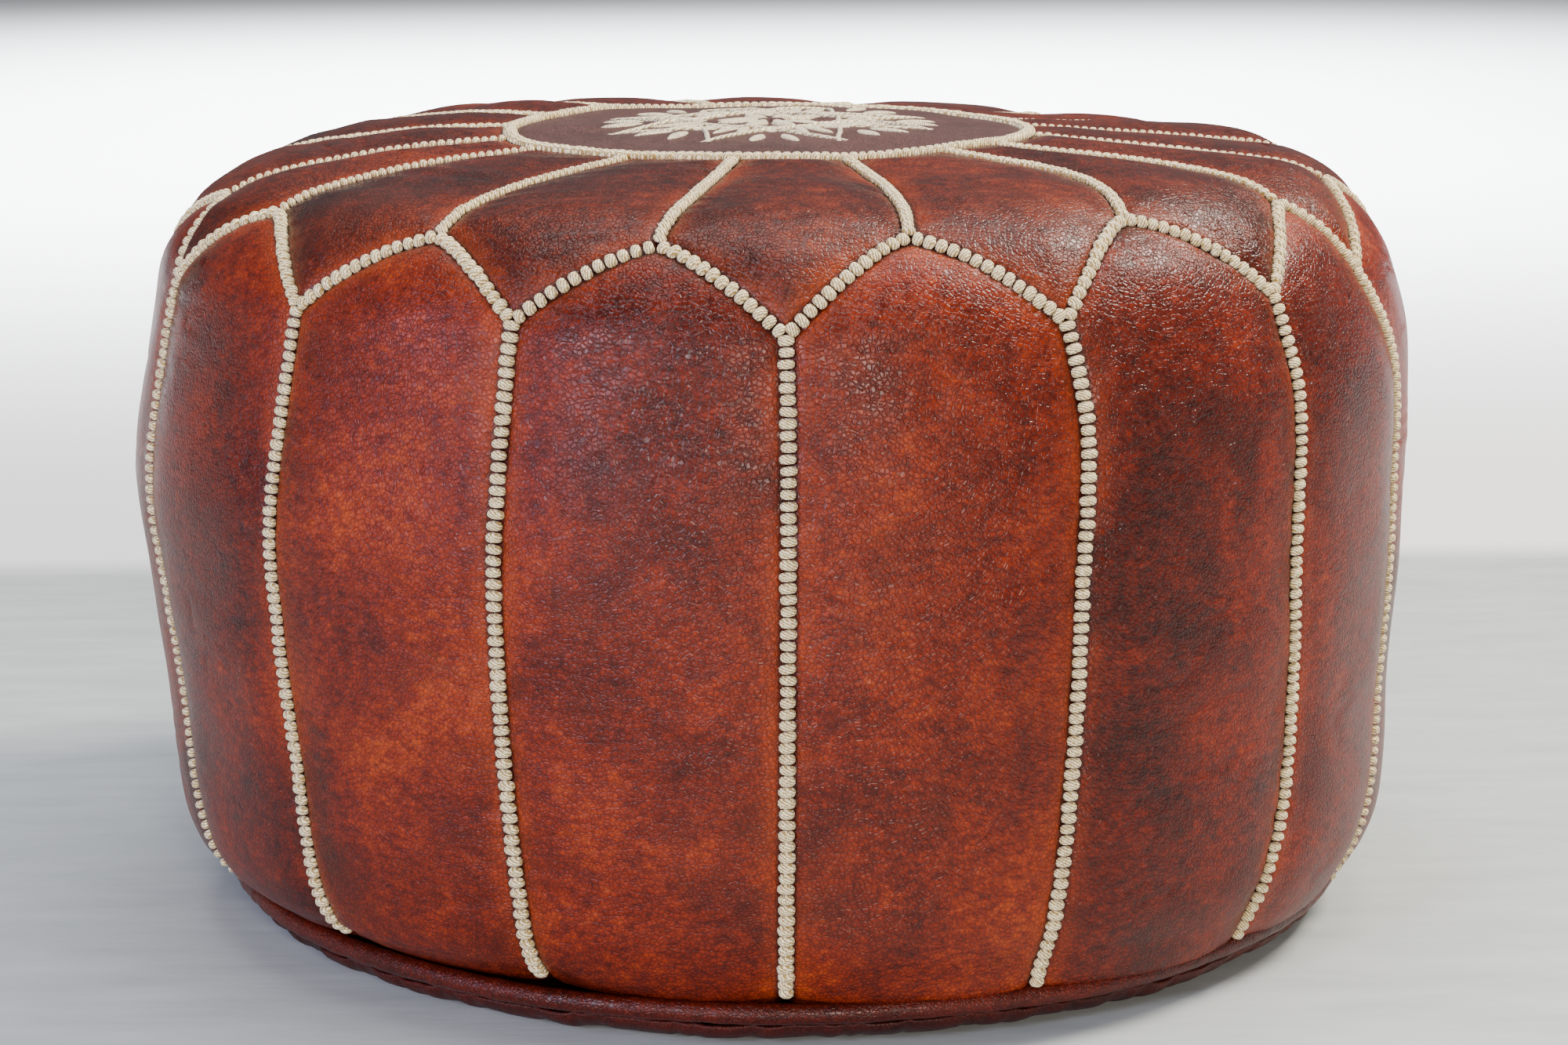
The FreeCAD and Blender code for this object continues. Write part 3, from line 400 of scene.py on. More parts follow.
def goat_leather(name, ramp, smudge, rub, smudging=0.7, grain=1.9, gloss=(0.29, 0.42)):
    """Oiled goat leather. The eye gets an uneven red-brown dye with soft dark smudges, orange
    where the dye is rubbed off along the seams, painted shade under the stitches along with
    the wax and dirt gathered there, a fine pebbled grain that breaks up the highlights, its
    pits painted darker as painted shade and gathered dye, and short creases. Grain is the
    width of a pebble in mm: a goat's is 1 to 1.5, too fine to show across a whole pouf, so
    it is drawn at 1.9."""
    made, tree, shader = new_finish(name, IOR=1.45, Specular_IOR_Level=0.32)
    place = node(tree, "TexCoord").outputs["Object"]
    hide = node(tree, "Attribute", attribute_name="hide").outputs["Fac"]
    edge = node(tree, "Attribute", attribute_name="edge").outputs["Fac"]
    tone = node(tree, "Attribute", attribute_name="tone").outputs["Fac"]
    # Flecks and creases lie across the panel, about 1.5 times as long as they are high
    drawn = node(tree, "Mapping", {"Vector": place, "Scale": (0.9, 0.9, 1.5)}).outputs[0]
    cloud = node(tree, "TexNoise", {"Vector": place, "W": hide, "Scale": 1 / 0.07, "Detail": 9.0,
                                    "Roughness": 0.68, "Distortion": 0.4}, noise_dimensions="4D")
    fine = node(tree, "TexNoise", {"Vector": drawn, "W": hide, "Scale": 1 / 0.005, "Detail": 5.0,
                                   "Roughness": 0.75}, noise_dimensions="4D")
    blotch = node(tree, "TexNoise", {"Vector": place, "W": hide, "Scale": 1 / 0.045, "Detail": 9.0,
                                     "Roughness": 0.74, "Distortion": 0.3}, noise_dimensions="4D")
    # Two noises about 0.5 are added, and 0.36 less brings the sum into the dye's stops
    shade = node(tree, "Math", {0: cloud.outputs["Fac"], 1: tone}, operation="ADD")
    shade = node(tree, "Math", {0: shade.outputs[0], 1: 0.36}, operation="SUBTRACT")
    shade = node(tree, "Math", {0: fine.outputs["Fac"], 1: shade.outputs[0]}, operation="ADD")
    dyed = node(tree, "ValToRGB", {"Fac": shade.outputs[0]}, stops=ramp)
    patch = node(tree, "MapRange", {"Value": blotch.outputs["Fac"], "From Min": 0.49,
                                    "From Max": 0.66, "To Max": smudging},
                 interpolation_type="SMOOTHSTEP")
    speck = node(tree, "MapRange", {"Value": fine.outputs["Fac"], "From Min": 0.42,
                                    "From Max": 0.56, "To Min": 0.12, "To Max": 1.0})
    patch = node(tree, "Math", {0: patch.outputs[0], 1: speck.outputs[0]}, operation="MULTIPLY")
    smudged = node(tree, "Mix", {0: patch.outputs[0], FIRST: dyed.outputs["Color"],
                                 SECOND: colour(smudge)}, data_type="RGBA")
    worn = node(tree, "MapRange", {"Value": edge, "From Min": 13.0, "From Max": 4.0, "To Min": 0.0,
                                   "To Max": 0.6}, interpolation_type="SMOOTHSTEP")
    rubs = node(tree, "MapRange", {"Value": cloud.outputs["Fac"], "From Min": 0.4,
                                   "From Max": 0.6, "To Min": 0.1, "To Max": 1.0})
    worn = node(tree, "Math", {0: worn.outputs[0], 1: rubs.outputs[0]}, operation="MULTIPLY")
    rubbed = node(tree, "Mix", {0: worn.outputs[0], FIRST: smudged.outputs[MIXED],
                                SECOND: colour(rub)}, data_type="RGBA")
    # Painted shade under the stitches, with the wax and dirt gathered there: darker within 3 mm of
    # the seam
    stitch_shade_and_dirt = node(tree, "MapRange", {"Value": edge, "From Min": 4.6, "From Max": 2.6, "To Min": 0.0,
                                   "To Max": 0.8}, interpolation_type="SMOOTHSTEP")
    shaded_and_soiled = node(tree, "Mix", {0: stitch_shade_and_dirt.outputs[0], FIRST: rubbed.outputs[MIXED],
                                SECOND: colour("#2a0d09")}, data_type="RGBA")
    pebble = node(tree, "TexVoronoi", {"Vector": place, "Scale": 1000 / grain, "Randomness": 1.0},
                  feature="DISTANCE_TO_EDGE")
    hump = node(tree, "MapRange", {"Value": pebble.outputs["Distance"], "From Max": 0.22},
                interpolation_type="SMOOTHSTEP")
    # Painted shade: the pebbles' pits are darker, where dye also gathers, and their tops a little
    # lighter
    pit_shade_and_dye = node(tree, "MapRange", {"Value": hump.outputs[0], "To Min": 0.62, "To Max": 1.08})
    skin = node(tree, "Mix", {0: 1.0, FIRST: shaded_and_soiled.outputs[MIXED], SECOND: pit_shade_and_dye.outputs[0]},
                data_type="RGBA", blend_type="MULTIPLY")
    # Creases a few millimetres apart: thin dark lines where a noise field crosses its middle
    crease = node(tree, "TexNoise", {"Vector": drawn, "W": hide, "Scale": 1 / 0.011, "Detail": 3.0,
                                     "Distortion": 1.0}, noise_dimensions="4D")
    crease = node(tree, "Math", {0: crease.outputs["Fac"], 1: 0.5}, operation="SUBTRACT")
    crease = node(tree, "Math", {0: crease.outputs[0]}, operation="ABSOLUTE")
    crease = node(tree, "MapRange", {"Value": crease.outputs[0], "From Max": 0.035},
                  interpolation_type="SMOOTHSTEP")
    lines = node(tree, "Bump", {"Strength": 0.32, "Distance": 0.0006, "Height": crease.outputs[0]})
    bumps = node(tree, "Bump", {"Strength": 0.5, "Distance": 0.0003, "Height": hump.outputs[0],
                                "Normal": lines.outputs[0]})
    rough = node(tree, "MapRange", {"Value": cloud.outputs["Fac"], "From Min": 0.35,
                                    "From Max": 0.65, "To Min": gloss[0], "To Max": gloss[1]})
    for socket, value in (("Base Color", skin.outputs[MIXED]), ("Roughness", rough.outputs[0]),
                          ("Normal", bumps.outputs[0])):
        tree.links.new(value, shader.inputs[socket])
    return made


def laid_thread(name, light, dark, strand=1.1, lean=0.5, rough=0.62):
    """Silky thread laid side by side. The eye gets rows of rounded strands with painted shade in
    the gaps between them and a soft sheen across them. Strand is the width of one laid strand in
    mm."""
    made, tree, shader = new_finish(name, Roughness=rough, Sheen_Weight=0.35, Sheen_Roughness=0.4)
    at = node(tree, "Attribute", attribute_name="strand").outputs["Vector"]
    fuzz = node(tree, "TexNoise", {"Vector": at, "Scale": 1.4, "Detail": 2.0})
    parts = node(tree, "SeparateXYZ", {0: at})
    leaning = node(tree, "Math", {0: parts.outputs[0], 1: lean, 2: parts.outputs[1]},
                   operation="MULTIPLY_ADD")
    loose = node(tree, "Math", {0: fuzz.outputs["Fac"], 1: 1.6, 2: leaning.outputs[0]},
                 operation="MULTIPLY_ADD")
    wave = node(tree, "Math", {0: loose.outputs[0], 1: math.tau / strand}, operation="MULTIPLY")
    wave = node(tree, "Math", {0: wave.outputs[0]}, operation="SINE")
    rounded = node(tree, "MapRange", {"Value": wave.outputs[0], "From Min": -1.0, "From Max": 0.5},
                  interpolation_type="SMOOTHSTEP")
    # The gaps between strands are painted darker: painted shade
    tint = node(tree, "Mix", {0: rounded.outputs[0], FIRST: colour(dark), SECOND: colour(light)},
                data_type="RGBA")
    bump = node(tree, "Bump", {"Strength": 0.9, "Distance": 0.0005, "Height": rounded.outputs[0]})
    tree.links.new(tint.outputs[MIXED], shader.inputs["Base Color"])
    tree.links.new(bump.outputs[0], shader.inputs["Normal"])
    return made


def woven(name, light, dark, thread, rough=0.85):
    """Plain weave. The eye gets a small chequer of over and under threads, thread mm apart."""
    made, tree, shader = new_finish(name, Roughness=rough, Sheen_Weight=0.2)
    place = node(tree, "TexCoord").outputs["Object"]
    parts = node(tree, "SeparateXYZ", {0: place})
    waves = []
    for axis in (0, 1):
        turn = node(tree, "Math", {0: parts.outputs[axis], 1: math.tau * 500 / thread},
                    operation="MULTIPLY")
        waves.append(node(tree, "Math", {0: turn.outputs[0]}, operation="SINE"))
    over = node(tree, "Math", {0: waves[0].outputs[0], 1: waves[1].outputs[0]},
                operation="MULTIPLY")
    lift = node(tree, "MapRange", {"Value": over.outputs[0], "From Min": -1.0})
    tint = node(tree, "Mix", {0: lift.outputs[0], FIRST: colour(dark), SECOND: colour(light)},
                data_type="RGBA")
    bump = node(tree, "Bump", {"Strength": 0.6, "Distance": 0.0002, "Height": lift.outputs[0]})
    tree.links.new(tint.outputs[MIXED], shader.inputs["Base Color"])
    tree.links.new(bump.outputs[0], shader.inputs["Normal"])
    return made


def mottled(name, light, dark, size, rough, depth=0.00005, **shader_values):
    """A hard or matted surface with faint uneven colour. Size is the width of a mottle in mm."""
    made, tree, shader = new_finish(name, **shader_values)
    place = node(tree, "TexCoord").outputs["Object"]
    field = node(tree, "TexNoise", {"Vector": place, "Scale": 1000 / size, "Detail": 5.0})
    tint = node(tree, "Mix", {0: field.outputs["Fac"], FIRST: colour(dark), SECOND: colour(light)},
                data_type="RGBA")
    worn = node(tree, "MapRange", {"Value": field.outputs["Fac"], "From Min": 0.3,
                                   "From Max": 0.7, "To Min": rough - 0.08, "To Max": rough + 0.1})
    bump = node(tree, "Bump", {"Strength": 0.5, "Distance": depth,
                               "Height": field.outputs["Fac"]})
    for socket, value in (("Base Color", tint.outputs[MIXED]), ("Roughness", worn.outputs[0]),
                          ("Normal", bump.outputs[0])):
        tree.links.new(value, shader.inputs[socket])
    return made


SIDE_DYE = [(0.4, "#330903"), (0.6, "#5a1403"), (0.75, "#772003"), (0.95, "#9c3a06")]
PETAL_DYE = [(0.4, "#280804"), (0.6, "#451205"), (0.75, "#5f1c06"), (0.95, "#823009")]
side_leather = goat_leather("oiled_goat_leather", SIDE_DYE, "#220b05", "#8f3204")
petal_leather = goat_leather("oiled_goat_leather_petals", PETAL_DYE, "#1d0a05", "#8a3104")
medallion_leather = goat_leather(
    "waxed_goat_leather_medallion", [(0.3, "#3a2522"), (0.9, "#5f3f3b")], "#2c1c1b", "#5a3b38",
    smudging=0.4, gloss=(0.4, 0.5))
base_leather = goat_leather(
    "plain_goat_leather_base", [(0.35, "#260804"), (0.95, "#54170c")], "#190704", "#54170c",
    gloss=(0.42, 0.6))
welt_leather = goat_leather(
    "rolled_goat_leather_welt", [(0.35, "#300b05"), (0.95, "#6b1d0b")], "#1e0804", "#6b1d0b",
    gloss=(0.3, 0.45))
seam_thread = laid_thread("silky_cream_seam_thread", "#fff0c2", "#a2823f")
satin_thread = laid_thread("cream_satin_stitch_thread", "#fbeecb", "#a08b58", strand=0.9,
                           lean=0.25)
zip_thread = laid_thread("brown_waxed_thread", "#5a2a1c", "#2a110b", strand=0.8, lean=1.2)
cord_thread = laid_thread("twisted_cotton_cord", "#cbbd9c", "#8d7d5c", strand=1.2, lean=1.0)
lining_cotton = woven("plain_cotton_lining", "#d8cfba", "#9d927a", 1.0)
filling_cotton = mottled("packed_cotton_waste", "#e0dbcc", "#b9b09a", 9, 0.9, depth=0.0006)
zip_weave = woven("woven_polyester_zip_tape", "#4a2a20", "#22110c", 0.7)
zip_plastic = mottled("moulded_acetal_zip_teeth", "#4a2820", "#381c16", 3, 0.4)
zip_brass = mottled("aged_brass", "#b08a4a", "#7a5a2c", 4, 0.38, Metallic=1.0)


# ---- the cover ------------------------------------------------------------------------------

def sheet_of_leather(name, hide, angle, s, edge, lift, material, node_name, tone):
    """One cut hide as a grid of points on the cover, thickened inwards."""
    points = on_cover(angle, s, lift)
    rows, columns = angle.shape
    values = {"edge": edge.ravel(), "hide": np.full(edge.size, hide * 1.37),
              "tone": np.full(edge.size, tone)}
    piece = make_piece(name, points, grid_faces(rows, columns), material, attributes=values)
    thicken(piece)
    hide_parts(node_name)


def side_panel(k, tone):
    """Side panel k: rows run from under the welt to the arch, columns from seam to seam. Each
    column rises to its own place on the arch; the lowest rows roll in behind the welt."""
    columns, rows = 61, 170
    t = np.linspace(-1, 1, columns)[None]
    top_angle, top = arch(k, t)
    left_foot, right_foot = side_seam(k, COVER), side_seam(k + 1, COVER)
    share = (top_angle - left_foot) / (right_foot - left_foot)
    s = -HEM_TURN + np.linspace(0, 1, rows)[:, None] * (top - SEAM_ROOM + HEM_TURN)
    reach = profile(s)[0]
    room = np.degrees(SEAM_ROOM / reach)
    left, right = side_seam(k, s) + room, side_seam(k + 1, s) - room
    angle = left + share * (right - left)
    to_left = np.radians(angle - left) * reach
    to_right = np.radians(right - angle) * reach
    edge = np.minimum(np.minimum(to_left, to_right), (top - s) * ARCH_SLOPE + 0.15)
    rolled_in = 1.7 * step(2, -4, s) + 1.8 * step(-4, -HEM_TURN, s)
    hem = hem_lift(angle, s) - rolled_in
    lift = leather_lift(k, angle, s, edge, 2.0) + hem
    sheet_of_leather(f"side_leather_{k + 1:02d}", k + 1, angle, s, edge, lift, side_leather,
                     f"side_panel_{k + 1:02d}", tone)


def top_petal(k, tone):
    """Petal k, between petal seams k - 1 and k: rows run from the two half arches at its foot
    up to the medallion's ring."""
    columns, rows = 61, 110
    t = np.linspace(-1, 1, columns)[None]
    before, after = arch(k - 1, 1 + np.minimum(t, 0)), arch(k, -1 + np.maximum(t, 0))
    foot_angle, foot = (np.where(t < 0, a, b) for a, b in zip(before, after))
    left_peak, right_peak = petal_seam(k - 1, 0), petal_seam(k, 0)
    share = (foot_angle - left_peak) / (right_peak - left_peak)
    low = foot + SEAM_ROOM
    s = low + np.linspace(0, 1, rows)[:, None] * (RING - SEAM_ROOM - low)
    reach = profile(s)[0]
    room = np.degrees(SEAM_ROOM / reach)
    left, right = petal_seam(k - 1, s) + room, petal_seam(k, s) - room
    angle = left + share * (right - left)
    to_left = np.radians(angle - left) * reach
    to_right = np.radians(right - angle) * reach
    edge = np.minimum(np.minimum(to_left, to_right), (s - foot) * ARCH_SLOPE)
    edge = np.minimum(edge, RING - s)
    lift = leather_lift(k + 20, angle, s, edge, 3.0)
    sheet_of_leather(f"petal_leather_{k + 1:02d}", k + 21, angle, s, edge, lift, petal_leather,
                     f"top_petal_{k + 1:02d}", tone)


def medallion():
    """The round middle: rings of points closed by one at the top."""
    rings, columns = 50, 192
    s = np.linspace(RING + SEAM_ROOM, COVER, rings)[:-1, None]
    angle = np.arange(columns)[None] * 360 / columns + 0 * s
    s = s + 0 * angle
    points = on_cover(angle, s, medallion_lift(angle, s)).reshape(-1, 3)
    peak = on_cover(np.zeros(1), np.full(1, COVER), medallion_lift(np.zeros(1), np.full(1, COVER)))
    last = (rings - 2) * columns
    faces = grid_faces(rings - 1, columns, closed=True)
    faces += [[last + c, last + (c + 1) % columns, len(points)] for c in range(columns)]
    edge = np.append((s - RING).ravel(), MEDALLION)
    values = {"edge": edge, "hide": np.full(edge.size, 60.0), "tone": np.zeros(edge.size)}
    piece = make_piece("medallion_leather", np.concatenate([points, peak]), faces,
                       medallion_leather, attributes=values)
    thicken(piece)
    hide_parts("medallion")


def braid(name, lines, half, pitch, replaced, slant=0.0):
    """All the stitches of one kind of seam, as one piece."""
    points, faces, values = place_beads(lines, half, pitch, slant)
    piece = make_piece(name, points, faces, seam_thread, attributes=values)
    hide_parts(replaced)


def seam_line(angle, s, lift):
    """A stitch line over the seams' valley: its points and directions off the cover."""
    return on_cover(angle, s, lift), outward(angle, s)


def sew_cover():
    """Beads up every side seam and over every arch, wrapped rope on the petal seams and a
    thicker braid round the medallion."""
    side_lines, arch_lines, petal_lines = [], [], []
    for k in range(PANELS):
        s = np.linspace(2.5, JUNCTION[k] + 0.8, 200)
        angle = side_seam(k, s)
        side_lines.append(seam_line(angle, s, -0.9 + hem_lift(angle, s)))
        for start, end in ((-0.985, -0.01), (0.01, 0.985)):
            angle, s = arch(k, np.linspace(start, end, 60))
            arch_lines.append(seam_line(angle, s, -0.9))
        s = np.linspace(PEAK[k] + 2.6, RING - 3, 120)
        petal_lines.append(seam_line(petal_seam(k, s), s, -0.8))
    braid("side_seam_beads", side_lines, (3.25, 2.15, 2.5), 4.35, "side_seam_braids")
    braid("arch_beads", arch_lines, (2.85, 2.4, 2.45), 4.75, "scallop_braids")
    braid("petal_seam_rope", petal_lines, (2.6, 1.85, 1.95), 3.7, "petal_braids", slant=18)
    angle = np.linspace(0, 360, 721)
    ring = seam_line(angle, np.full(angle.shape, RING), -0.3)
    braid("medallion_ring_braid", [ring], (3.1, 2.3, 2.3), 3.9, "medallion_braid_ring", slant=28)


def satin_leaf(start, end, width, turn, lean):
    """A padded satin leaf lying out from the middle: its half width follows a sine to the
    power 0.7 from tip to tip, and its height follows a round across it."""
    rows, columns = 13, 7
    t, w = np.linspace(0, 1, rows)[:, None], np.linspace(-1, 1, columns)[None]
    wide = 0.12 + width / 2 * np.sin(np.pi * t) ** 0.7
    x = start + (end - start) * t + 0 * w
    y = wide * w + lean * (t - 0.5) * (end - start)
    rise = (0.15 + 1.0 * np.sqrt(np.sin(np.pi * t))) * np.sqrt(np.clip(1 - w * w, 0, 1)) - 0.1
    return x, y, rise, turn


def embroidery():
    """A generic eight-pointed star in satin stitch: leaves round a bud, crossed by laid lines."""
    # Each leaf's start and end from the middle, width, turn and lean
    one_point = [(5, 24, 9, 22.5, 0), (26, 46, 10, 45, 0), (54, 72, 6, 51, 0.2),
                 (54, 72, 6, 39, -0.2), (30, 52, 5, 27.5, 0.12), (30, 52, 5, 17.5, -0.12)]
    leaves = [satin_leaf(start, end, width, k * 45 + turn, lean)
              for k in range(8) for start, end, width, turn, lean in one_point]
    # Lines from each of the star's tips to the third tip along
    tip = 74.0
    near = tip * math.cos(math.radians(67.5))
    half = math.sqrt(tip ** 2 - near ** 2)
    for k in range(8):
        t, w = np.linspace(-1, 1, 41)[:, None], np.linspace(-1, 1, 5)[None]
        bow = near + 1.5 * np.cos(np.pi * t) + 0.85 * w
        rise = (0.9 + 0.35 * (k % 2)) * np.sqrt(np.clip(1 - w * w, 0, 1)) * (1 - t ** 8) - 0.1
        leaves.append((bow, half * t + 0 * w, rise, k * 45))
    points, faces, strands = [], [], []
    first = 0
    for number, (x, y, rise, turn) in enumerate(leaves):
        wander = 1.2 * (noise(x / 14, y / 14, turn / 9, 21) - 0.5)
        x, y = x + wander, y - wander
        reach, angle = np.hypot(x, y), np.degrees(np.arctan2(y, x)) + turn
        s = COVER - DOME * np.arcsin(np.clip(reach / DOME, 0, 1))
        points.append(on_cover(angle, s, medallion_lift(angle, s) + rise).reshape(-1, 3))
        faces += [f[::-1] for f in grid_faces(*x.shape, first=first)]
        strands.append(np.stack([y, x, 0 * x + number * 2.3], -1).reshape(-1, 3))
        first += x.size
    piece = make_piece("satin_embroidery", np.concatenate(points), faces, satin_thread,
                       attributes={"strand": np.concatenate(strands)})
    thicken(piece, 0.3)
    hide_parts("medallion_embroidery")


# ---- the foot: welt, base, bag and zip --------------------------------------------------------

def welt():
    """A roll of leather round a cotton cord, a little uneven along its length."""
    def reach(angle):
        return WELT_REACH + welt_shift(angle)

    def height(angle):
        return WELT_HEIGHT + welt_rise(angle)

    def roll_size(angle):
        return WELT_SIZE * (1 + 0.12 * (noise(np.radians(angle) * 40, 0.0, 0.0, 33) - 0.5))

    def cord_size(angle):
        return np.full(angle.shape, CORD_SIZE)

    points, faces, _, _ = ring_tube(reach, height, roll_size, rings=900)
    size = points[..., 0].size
    piece = make_piece("welt_leather", points, faces, welt_leather, attributes={
        "edge": np.full(size, 20.0), "hide": np.full(size, 80.0), "tone": np.full(size, -0.05)})
    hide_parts("piping_leather")
    points, faces, turn, section = ring_tube(reach, height, cord_size, rings=720, around=12,
                                             lobes=3, twist=60)
    strand = np.stack([turn * WELT_REACH, section * CORD_SIZE, 0 * turn], -1)
    cord = make_piece("welt_cord", points, faces, cord_thread,
                      attributes={"strand": strand.reshape(-1, 3)})
    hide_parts("piping_cord")


def base_half(name, front, node_name):
    """Half of the base leather, seen from below: raised in the middle for the zip, easing down
    to the ring it stands on, then curled up to the welt in short gathered pleats."""
    columns, flat_rows, curl_rows = 321, 70, 26
    sign = -1 if front else 1
    angle = sign * np.linspace(0.04, 179.96, columns)[None]
    turn = np.radians(angle)
    slot_edge = np.minimum(SLOT_WIDTH / 2 / np.maximum(np.abs(np.sin(turn)), 1e-6),
                           SLOT_HALF / np.maximum(np.abs(np.cos(turn)), 1e-6))
    share = np.linspace(0, 1, flat_rows)[:, None] ** 0.85
    bend = np.radians(np.linspace(4, 86, curl_rows))[:, None] + 0 * turn
    reach = np.concatenate([slot_edge + share * (CURL_START - slot_edge),
                            CURL_START + (LIP_REACH - CURL_START) * np.sin(bend)])
    curled = np.concatenate([0 * share + 0 * turn, CURL_RISE * (1 - np.cos(bend))])
    height = RECESS_RISE * step(FOOT_INNER, RECESS_REACH, reach) + curled
    gather = step(FOOT_INNER, LIP_REACH - 12, reach)
    pleat = noise(np.cos(turn) * 30, np.sin(turn) * 30, reach / 70, 41)
    pleat = (1 - np.abs(2 * pleat - 1)) ** 3
    away = np.minimum(reach - slot_edge, 40) / 40
    ripple = noise(reach * np.cos(turn) / 26, reach * np.sin(turn) / 26, 1.0, 42) - 0.5
    height = height + gather * pleat + away * np.clip(1.6 * ripple, -0.2, 1)
    out = reach - 1.6 * gather * pleat
    out = out + welt_shift(angle) * step(FOOT_INNER, CURL_START + 6, reach)
    height = height + welt_rise(angle) * step(FOOT_OUTER + 12, LIP_REACH, reach)
    y = sign * np.maximum(np.abs(out * np.sin(turn)), SEAM_ROOM)
    points = np.stack([out * np.cos(turn), y, np.maximum(height, 0)], -1)
    faces = grid_faces(flat_rows + curl_rows, columns)
    if front:
        faces = [f[::-1] for f in faces]
    size = points[..., 0].size
    edge = np.minimum((reach - slot_edge) * 1.5, LIP_REACH + 12 - reach)
    piece = make_piece(name, points, faces, base_leather, attributes={
        "edge": edge.ravel(), "hide": np.full(size, 90.0 + sign), "tone": np.zeros(size)})
    thicken(piece)
    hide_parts(node_name)


def zip_stitching():
    """Two rows of plain stitches that hold the zip tapes to the base, 2.5 mm from the slot."""
    lines = []
    for sign in (-1, 1):
        x = np.linspace(-SLOT_HALF, SLOT_HALF, 60)
        y = np.full(x.shape, sign * (SLOT_WIDTH / 2 + 2.5))
        height = np.full(x.shape, RECESS_RISE - 0.1)
        down = np.tile([0.0, 0.0, -1.0], (x.size, 1))
        lines.append((np.stack([x, y, height], -1), down))
    points, faces, values = place_beads(lines, (0.45, STITCH_LENGTH * 0.42, 0.4), STITCH_LENGTH)
    piece = make_piece("zip_stitching", points, faces, zip_thread, attributes=values)


def bag(name, inset, room, material, node_name, lumps):
    """A closed bag inside the cover: a flat middle over the base and a slope out to its foot,
    then the cover's own arcs, inset, more so at the hem, and a point at top and bottom."""
    columns = 120
    angle = np.arange(columns)[None] * 360 / columns
    turn = np.radians(angle)
    s = np.linspace(ARCS[0, 2] * np.radians(-90 - ARCS[0, 3]), COVER - 25, 70)[:, None]
    lump = lumps * (noise(3 * np.cos(turn) * (1 + s / 90), 3 * np.sin(turn) * (1 + s / 90),
                          s / 18, 51) - 0.5)
    tuck = 9 * step(30, 0, s)
    upper = on_cover(angle, s + 0 * angle, -inset - 0.5 + lump - tuck)
    foot = upper[0, :, 2].mean()
    flat = RECESS_RISE + room
    rings = [(60, flat), (120, flat), (158, flat), (184, foot)]
    lower = np.stack([np.stack([r * np.cos(turn[0]), r * np.sin(turn[0]), 0 * turn[0] + h], -1)
                      for r, h in rings])
    grid = np.concatenate([lower, upper])
    rows = len(grid)
    points = np.concatenate([grid.reshape(-1, 3), [[0, 0, flat]],
                             on_cover(np.zeros(1), np.full(1, COVER), -inset - 0.5)])
    faces = grid_faces(rows, columns, closed=True)
    last, low, high = (rows - 1) * columns, rows * columns, rows * columns + 1
    faces += [[(c + 1) % columns, c, low] for c in range(columns)]
    faces += [[last + c, last + (c + 1) % columns, high] for c in range(columns)]
    piece = make_piece(name, points, faces, material)
    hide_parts(node_name)


def finish_zip():
    """Materials for the zip's own CAD solids, whose shapes stay as they are."""
    finishes = {"zip_tape_front": zip_weave, "zip_tape_back": zip_weave,
                "zip_teeth_front": zip_plastic, "zip_teeth_back": zip_plastic,
                "zip_stops": zip_brass, "zip_slider": zip_brass, "zip_pull": zip_brass}
    for word, material in finishes.items():
        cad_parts[word].data.materials.clear()
        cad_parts[word].data.materials.append(material)


# How light each hide took the dye: side panels, then petals
SIDE_TONES = {13: -0.03, 14: 0.02, 15: 0.0, 0: 0.06, 1: -0.05, 2: -0.02}
PETAL_TONES = {13: 0.04, 14: 0.0, 15: -0.02, 0: -0.03, 1: 0.03, 2: 0.0, 3: 0.03}
side_tones = every_seam(SIDE_TONES, 0, 0.05)[:, 0]
petal_tones = every_seam(PETAL_TONES, 0, 0.05)[:, 0]
for k in range(PANELS):
    side_panel(k, side_tones[k])
    top_petal(k, petal_tones[k])
medallion()
sew_cover()
embroidery()
welt()
base_half("base_leather_front", True, "base_panel_front")
base_half("base_leather_back", False, "base_panel_back")
bag("lining_bag", 5.4, 7.5, lining_cotton, "inner_lining", 0.3)
bag("packed_filling", 6.6, 8.7, filling_cotton, "filling", 0.4)
zip_stitching()
finish_zip()


# ---- room, lights and camera ------------------------------------------------------------------

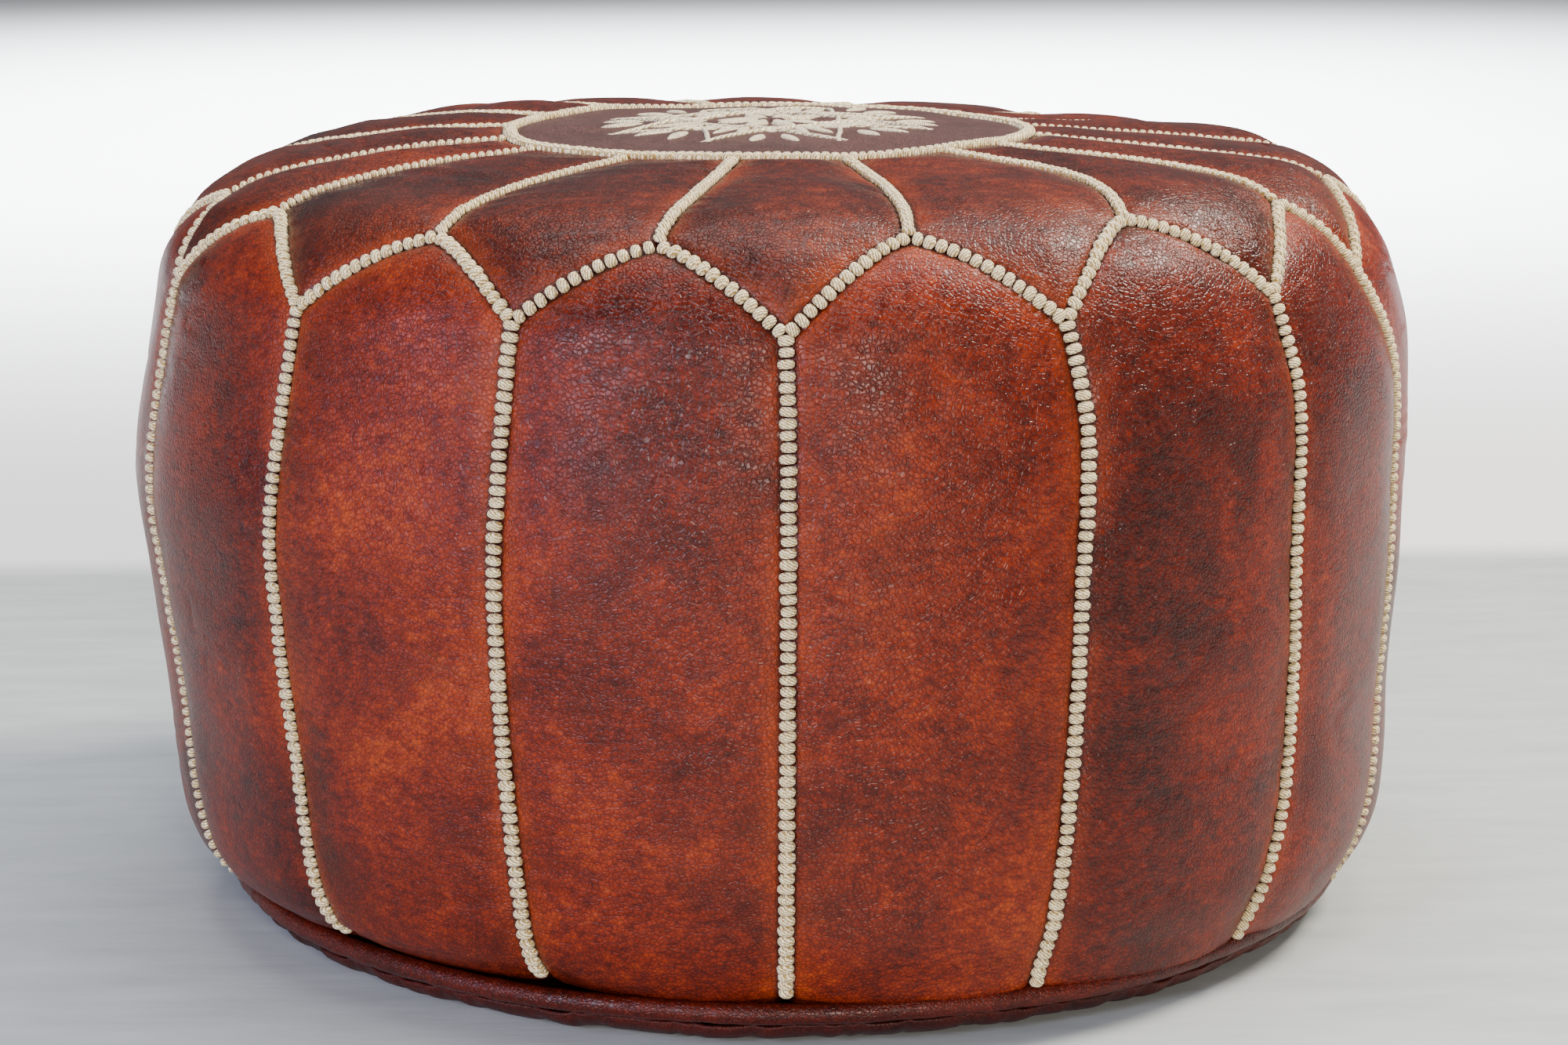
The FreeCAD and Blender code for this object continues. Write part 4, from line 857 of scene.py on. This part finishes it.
def floor_sheet():
    """A pale painted floor, one flat sheet, painted whiter from a little way behind the pouf."""
    made, tree, shader = new_finish("pale_painted_boards", Roughness=0.8)
    place = node(tree, "TexCoord").outputs["Object"]
    streaks = node(tree, "Mapping", {"Vector": place, "Scale": (1.2, 5.0, 1.0)})
    wash = node(tree, "TexNoise", {"Vector": streaks.outputs[0], "Scale": 9.0, "Detail": 8.0,
                                   "Roughness": 0.65})
    parts = node(tree, "SeparateXYZ", {0: place})
    whiter = node(tree, "MapRange", {"Value": parts.outputs[1], "From Min": 0.63,
                                     "From Max": 0.68})
    paint = node(tree, "ValToRGB", {"Fac": wash.outputs["Fac"]},
                 stops=[(0.3, "#aab2b3"), (0.7, "#bcc4c4")])
    tint = node(tree, "Mix", {0: whiter.outputs[0], FIRST: paint.outputs["Color"],
                              SECOND: colour("#f4f6f8")}, data_type="RGBA")
    bump = node(tree, "Bump", {"Strength": 0.25, "Distance": 0.002,
                               "Height": wash.outputs["Fac"]})
    tree.links.new(tint.outputs[MIXED], shader.inputs["Base Color"])
    tree.links.new(bump.outputs[0], shader.inputs["Normal"])
    mesh = bpy.data.meshes.new("floor")
    mesh.from_pydata([(x, y, 0) for y in (-12, 12) for x in (-12, 12)], [], [(0, 1, 3, 2)])
    mesh.materials.append(made)
    sheet = bpy.data.objects.new("floor", mesh)
    bpy.context.scene.collection.objects.link(sheet)


def softbox(name, place, aim, size, power, tint, spread=180):
    """A square soft light at a place, facing another, its beam spread degrees wide."""
    light = bpy.data.lights.new(name, "AREA")
    light.size, light.energy, light.color = size, power, colour(tint)[:3]
    light.spread = math.radians(spread)
    lamp = bpy.data.objects.new(name, light)
    lamp.location = place
    lamp.rotation_euler = (Vector(aim) - Vector(place)).to_track_quat("-Z", "Y").to_euler()
    bpy.context.scene.collection.objects.link(lamp)


floor_sheet()
softbox("key", (1.3, 0.2, 1.7), (0, 0, 0.1), 0.5, 78, "#fff3e4")
softbox("window", (-1.55, -2.3, 0.95), (0, 0, 0.25), 0.5, 52, "#e4e6ff")
softbox("side_window", (-1.9, -0.95, 0.75), (0, 0, 0.2), 0.5, 15, "#d2ccff")
softbox("front", (0.42, -3.0, 0.85), (0, 0, 0.25), 0.4, 58, "#ffeede")
softbox("ceiling", (0.0, 0.1, 2.8), (0, 0, 0), 2.0, 66, "#ffffff")
softbox("far_floor", (0, 3.4, 3.0), (0, 3.4, 0), 3.0, 320, "#fbfcff", spread=50)
world = bpy.data.worlds.new("soft_room_light")
world.use_nodes = True
sky = world.node_tree.nodes["Background"]
sky.inputs["Color"].default_value = colour("#eef2f6")
sky.inputs["Strength"].default_value = 0.3
bpy.context.scene.world = world

# A long lens 1.6 m in front of the middle and 0.49 m up, tipped 11.6 degrees down
camera_data = bpy.data.cameras.new("camera")
camera_data.lens, camera_data.sensor_width = 87.1, 36
camera_data.shift_x = 0.0075
camera = bpy.data.objects.new("camera", camera_data)
camera.matrix_world = (Matrix.Translation((-0.0395, -1.6165, 0.4876))
                       @ Matrix.Rotation(math.radians(-1.4), 4, "Z")
                       @ Matrix.Rotation(math.radians(78.44), 4, "X")
                       @ Matrix.Rotation(math.radians(-0.38), 4, "Z"))
bpy.context.scene.collection.objects.link(camera)
bpy.context.scene.camera = camera

bpy.context.view_layer.update()
